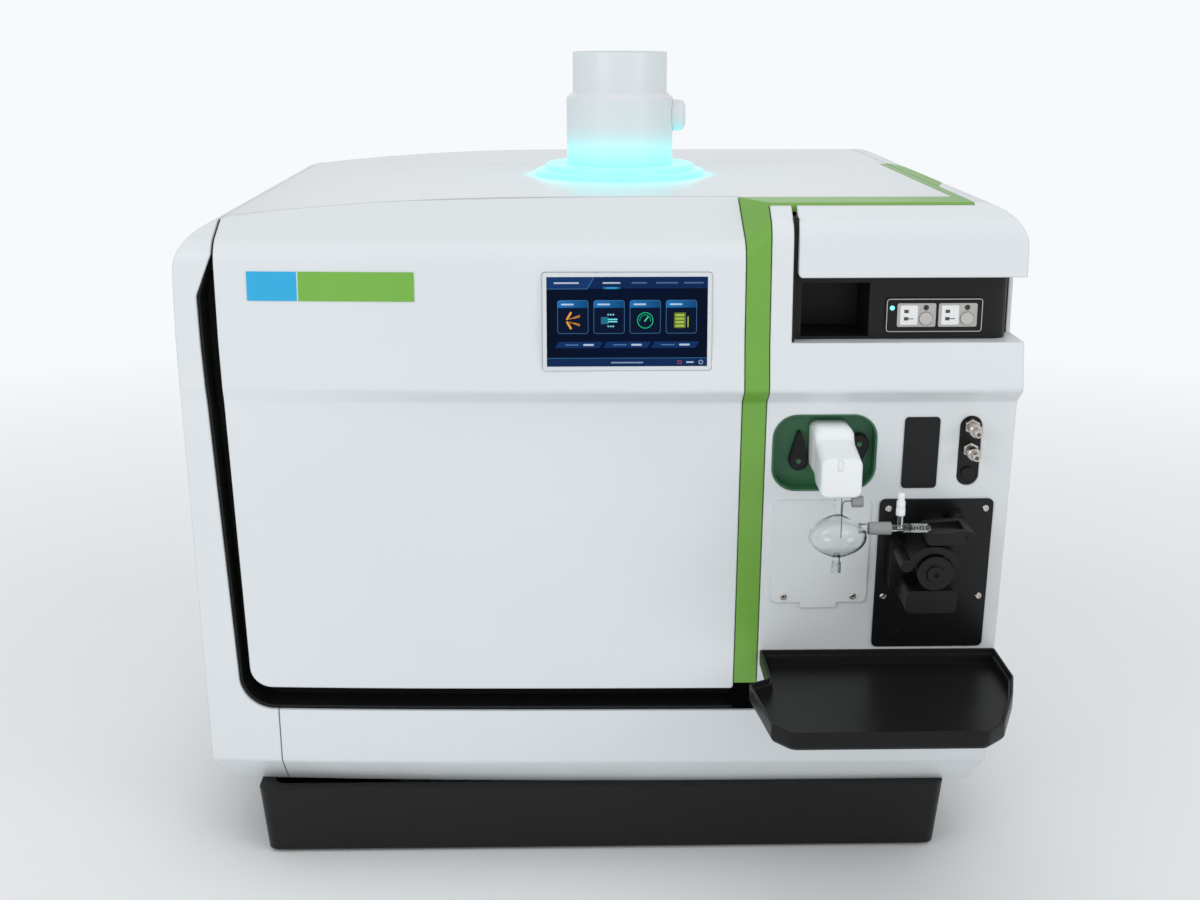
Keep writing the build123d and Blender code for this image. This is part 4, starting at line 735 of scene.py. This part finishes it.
# Nebuliser: a glass body, a ribbed end, and a tee whose top carries a white nut.
ribs_start, ribs_end = 298, 315
rib_rate = 2.2
rib_depth = 0.35
ribs = np.linspace(ribs_start, ribs_end, 36)
ribbed = np.stack([4.1 + rib_depth * np.sign(np.sin((ribs - ribs_start) * rib_rate)), ribs], axis=1)
line_parts = [
    solid_turned(np.array([(3.1, 261), (3.1, 291.5)]) * MM, line_start, RIGHT, BACK, 48),
    solid_turned(rounded([(4.4, 291.5), (4.4, 298)], [0, 0]) * MM, line_start, RIGHT, BACK, 48),
    solid_turned(ribbed * MM, line_start, RIGHT, BACK, 48),
    solid_turned(np.array([(2.4, 315), (2.4, 317)]) * MM, line_start, RIGHT, BACK, 32),
]
tee_axis = np.array([287.5 * MM, glass_y, nebuliser_height * MM])
line_parts.append(solid_turned(np.array([(2.6, 0), (2.6, 13)]) * MM, tee_axis, UP, RIGHT, 40))
build("nebuliser_glass", line_parts, "glass", "chassis", ["nebuliser"])
nut_corners = [(3.4, 13), (4.4, 13), (4.4, 20.5), (3.6, 21), (4.2, 22), (4.2, 27), (3.4, 27.6), (3.2, 36)]
nut = rounded(nut_corners, [0, 0.5, 0.4, 0.2, 0.4, 0.4, 0, 0])
build("nebuliser_nut", [solid_turned(nut * MM, tee_axis, UP, RIGHT, 48)], "mount_white", "chassis")

# ---------------------------------------------------------------- grey plug under the mount, with its line
plug_profile = rounded([(2.0, 240), (5.6, 240), (5.6, 251), (4.4, 251)], [0, 0.8, 0.8, 0]) * MM
plug_start = np.array([0.0, glass_y, 427.5 * MM])
build("drain_plug", [solid_turned(plug_profile, plug_start, RIGHT, BACK, 48)], "grey_plastic", "chassis")


def along(path, radius, count=12):
    """Round line: a ring of radius stands across the path at each of its points, on the two axes that
    are square to the path's direction there."""
    path = np.array(path, float)
    heading = np.gradient(path, axis=0)
    heading /= np.linalg.norm(heading, axis=1)[:, None]
    side = np.cross(heading, BACK)
    side /= np.linalg.norm(side, axis=1)[:, None]
    other = np.cross(heading, side)
    angle = np.linspace(0, 2 * math.pi, count, endpoint=False)
    ring = np.cos(angle)[None, :, None] * side[:, None] + np.sin(angle)[None, :, None] * other[:, None]
    return path[:, None] + radius * ring, True, True


capillary = rounded([(240.5, 428.0), (231.6, 428.0), (230.9, 391)], [0, 3.5, 0], steps=8)
capillary = np.stack([capillary[:, 0], np.full(len(capillary), glass_y / MM), capillary[:, 1]], axis=1) * MM
capillary_radius = 0.45 * MM
build("drain_line", [along(capillary, capillary_radius)], "black_gloss", "chassis")

# ---------------------------------------------------------------- pale line round the buttons
bezel_low, bezel_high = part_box("button_bezel")


def frame_line(low, high, width, depth, corner=3 * MM):
    """Flat line round a rectangle in the XZ plane: an outer and an inner rounded rectangle, width apart."""
    def ring(inset, y):
        left, right = low.x + inset, high.x - inset
        bottom, top = low.z + inset, high.z - inset
        corners = [(left, bottom), (right, bottom), (right, top), (left, top)]
        line = rounded(corners, [corner - inset] * 4, closed=True)
        return np.stack([line[:, 0], np.full(len(line), y), line[:, 1]], axis=1)

    proud = low.y - depth
    rows = np.stack([ring(0, low.y), ring(0, proud), ring(width, proud), ring(width, low.y), ring(0, low.y)])
    return rows, True, False


line_width = 0.8 * MM
line_depth = 0.25 * MM
line_grid = frame_line(bezel_low, bezel_high, line_width, line_depth)
build("button_frame_line", [line_grid], "button_grey", "chassis")

# ---------------------------------------------------------------- drip tray
_, tray_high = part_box("drip_tray")
tray_back = (tray_high.y - front_y) / MM
tray_corners = [
    (166, tray_back),
    (166, -34),
    (145, -48),
    (156, -140),
    (172, -160),
    (352, -160),
    (373, -140),
    (398, -76),
    (410, -34),
    (410, tray_back),
]
tray_line = rounded(tray_corners, (3, 6, 7, 8, 14, 14, 10, 20, 14, 3), steps=8, closed=True)
tray_line[:, 1] += front_y / MM


def inward(line, distance):
    """The closed line moved inwards along its normals."""
    heading = np.roll(line, -1, axis=0) - np.roll(line, 1, axis=0)
    heading /= np.linalg.norm(heading, axis=1)[:, None]
    area = np.sum(line[:, 0] * np.roll(line[:, 1], -1) - np.roll(line[:, 0], -1) * line[:, 1])
    normal = np.stack([-heading[:, 1], heading[:, 0]], axis=1) * np.sign(area)
    return line + normal * distance


rim = tray_high.z / MM
tray_section = rounded(
    [(2, rim - 18), (0, rim - 15), (0, rim), (2.4, rim), (2.4, rim - 5), (5, rim - 5), (5, rim - 15)],
    [0.5, 0.8, 1.1, 1.0, 0.3, 0.8, 0],
    steps=4,
)
tray_rings = [inward(tray_line, inset) for inset in tray_section[:, 0]]
tray_levels = tray_section[:, 1]
tray_points = np.stack(
    [np.column_stack([ring, np.full(len(ring), z)]) for ring, z in zip(tray_rings, tray_levels)]
)
build("tray_shell", [(tray_points * MM, True, True)], "black_tray", "chassis", ["drip_tray"])

# ---------------------------------------------------------------- studio
paper = (0.93, 0.95, 0.97, 1.0)
floor_middle = 3.5
fade_start = 0.9
fade_length = 1.8
bpy.ops.mesh.primitive_plane_add(size=14, location=(0, floor_middle, 0))
floor = bpy.context.object
floor.name = "studio_floor"
floor_shader = Shader("studio_floor")
floor_point, floor_x, floor_y, _ = floor_shader.place()
floor_drift = floor_shader.noise(floor_point, 2.0, 2.0)
floor_tone = floor_shader.mix(floor_drift, rgb(244, 245, 246), rgb(248, 249, 250))
floor_near = floor_shader.surface(floor_tone, 0.8)
floor_far = floor_shader.node("ShaderNodeEmission", (), {"Color": paper, "Strength": 1.0})
floor_reach = (floor_x ** 2.0 + (floor_y + floor_middle) ** 2.0) ** 0.5
floor_fade = ((floor_reach - fade_start) / fade_length).clamp()
seen_straight = floor_shader.node("ShaderNodeLightPath", output="Is Camera Ray")
floor_mix = {0: floor_fade * seen_straight, 1: floor_near, 2: floor_far}
floor.data.materials.append(floor_shader.end(floor_shader.node("ShaderNodeMixShader", (), floor_mix)))
floor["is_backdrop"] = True


def panel_light(name, place, aim, size, power):
    """Soft square lamp at place that shines towards aim."""
    lamp = bpy.data.lights.new(name, "AREA")
    lamp.shape = "RECTANGLE"
    lamp.size, lamp.size_y = size
    lamp.energy = power
    holder = bpy.data.objects.new(name, lamp)
    holder.location = place
    direction = Vector(aim) - Vector(place)
    holder.rotation_euler = direction.to_track_quat("-Z", "Y").to_euler()
    bpy.context.scene.collection.objects.link(holder)


panel_light("overhead", (0.1, -0.6, 2.6), (0, 0, 0.5), (2.6, 2.0), 6)
panel_light("front_left", (-2.2, -2.4, 1.7), (0, 0, 0.4), (1.6, 1.6), 18)
panel_light("front_right", (2.3, -2.2, 1.5), (0, 0, 0.4), (1.4, 1.4), 12)
panel_light("behind", (0.0, 2.6, 1.9), (0, 0, 0.4), (2.0, 1.4), 5)

# The world is plain paper where it is seen straight or through glass, and dimmer as a light.
light_level = 0.72
world = bpy.data.worlds.new("studio")
bpy.context.scene.world = world
sky = Shader("studio", world)
seen = sky.node("ShaderNodeLightPath", output="Is Camera Ray").most(
    sky.node("ShaderNodeLightPath", output="Is Transmission Ray")
)
level = seen * (1.0 - light_level) + light_level
sky.end(sky.node("ShaderNodeBackground", (), {"Color": paper, "Strength": level}), "ShaderNodeOutputWorld")

lens = bpy.data.cameras.new("view")
lens.lens = 47.28
lens.sensor_width = 36.0
lens.clip_start = 0.05
lens.clip_end = 60
camera = bpy.data.objects.new("view", lens)
camera.location = (-30.85 * MM, front_y - 1475.16 * MM, 869.13 * MM)
camera.rotation_euler = (math.radians(90 - 15.17), 0.0, math.radians(-1.21))
bpy.context.scene.collection.objects.link(camera)
bpy.context.scene.camera = camera
bpy.context.scene.view_settings.view_transform = "Standard"

low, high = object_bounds()
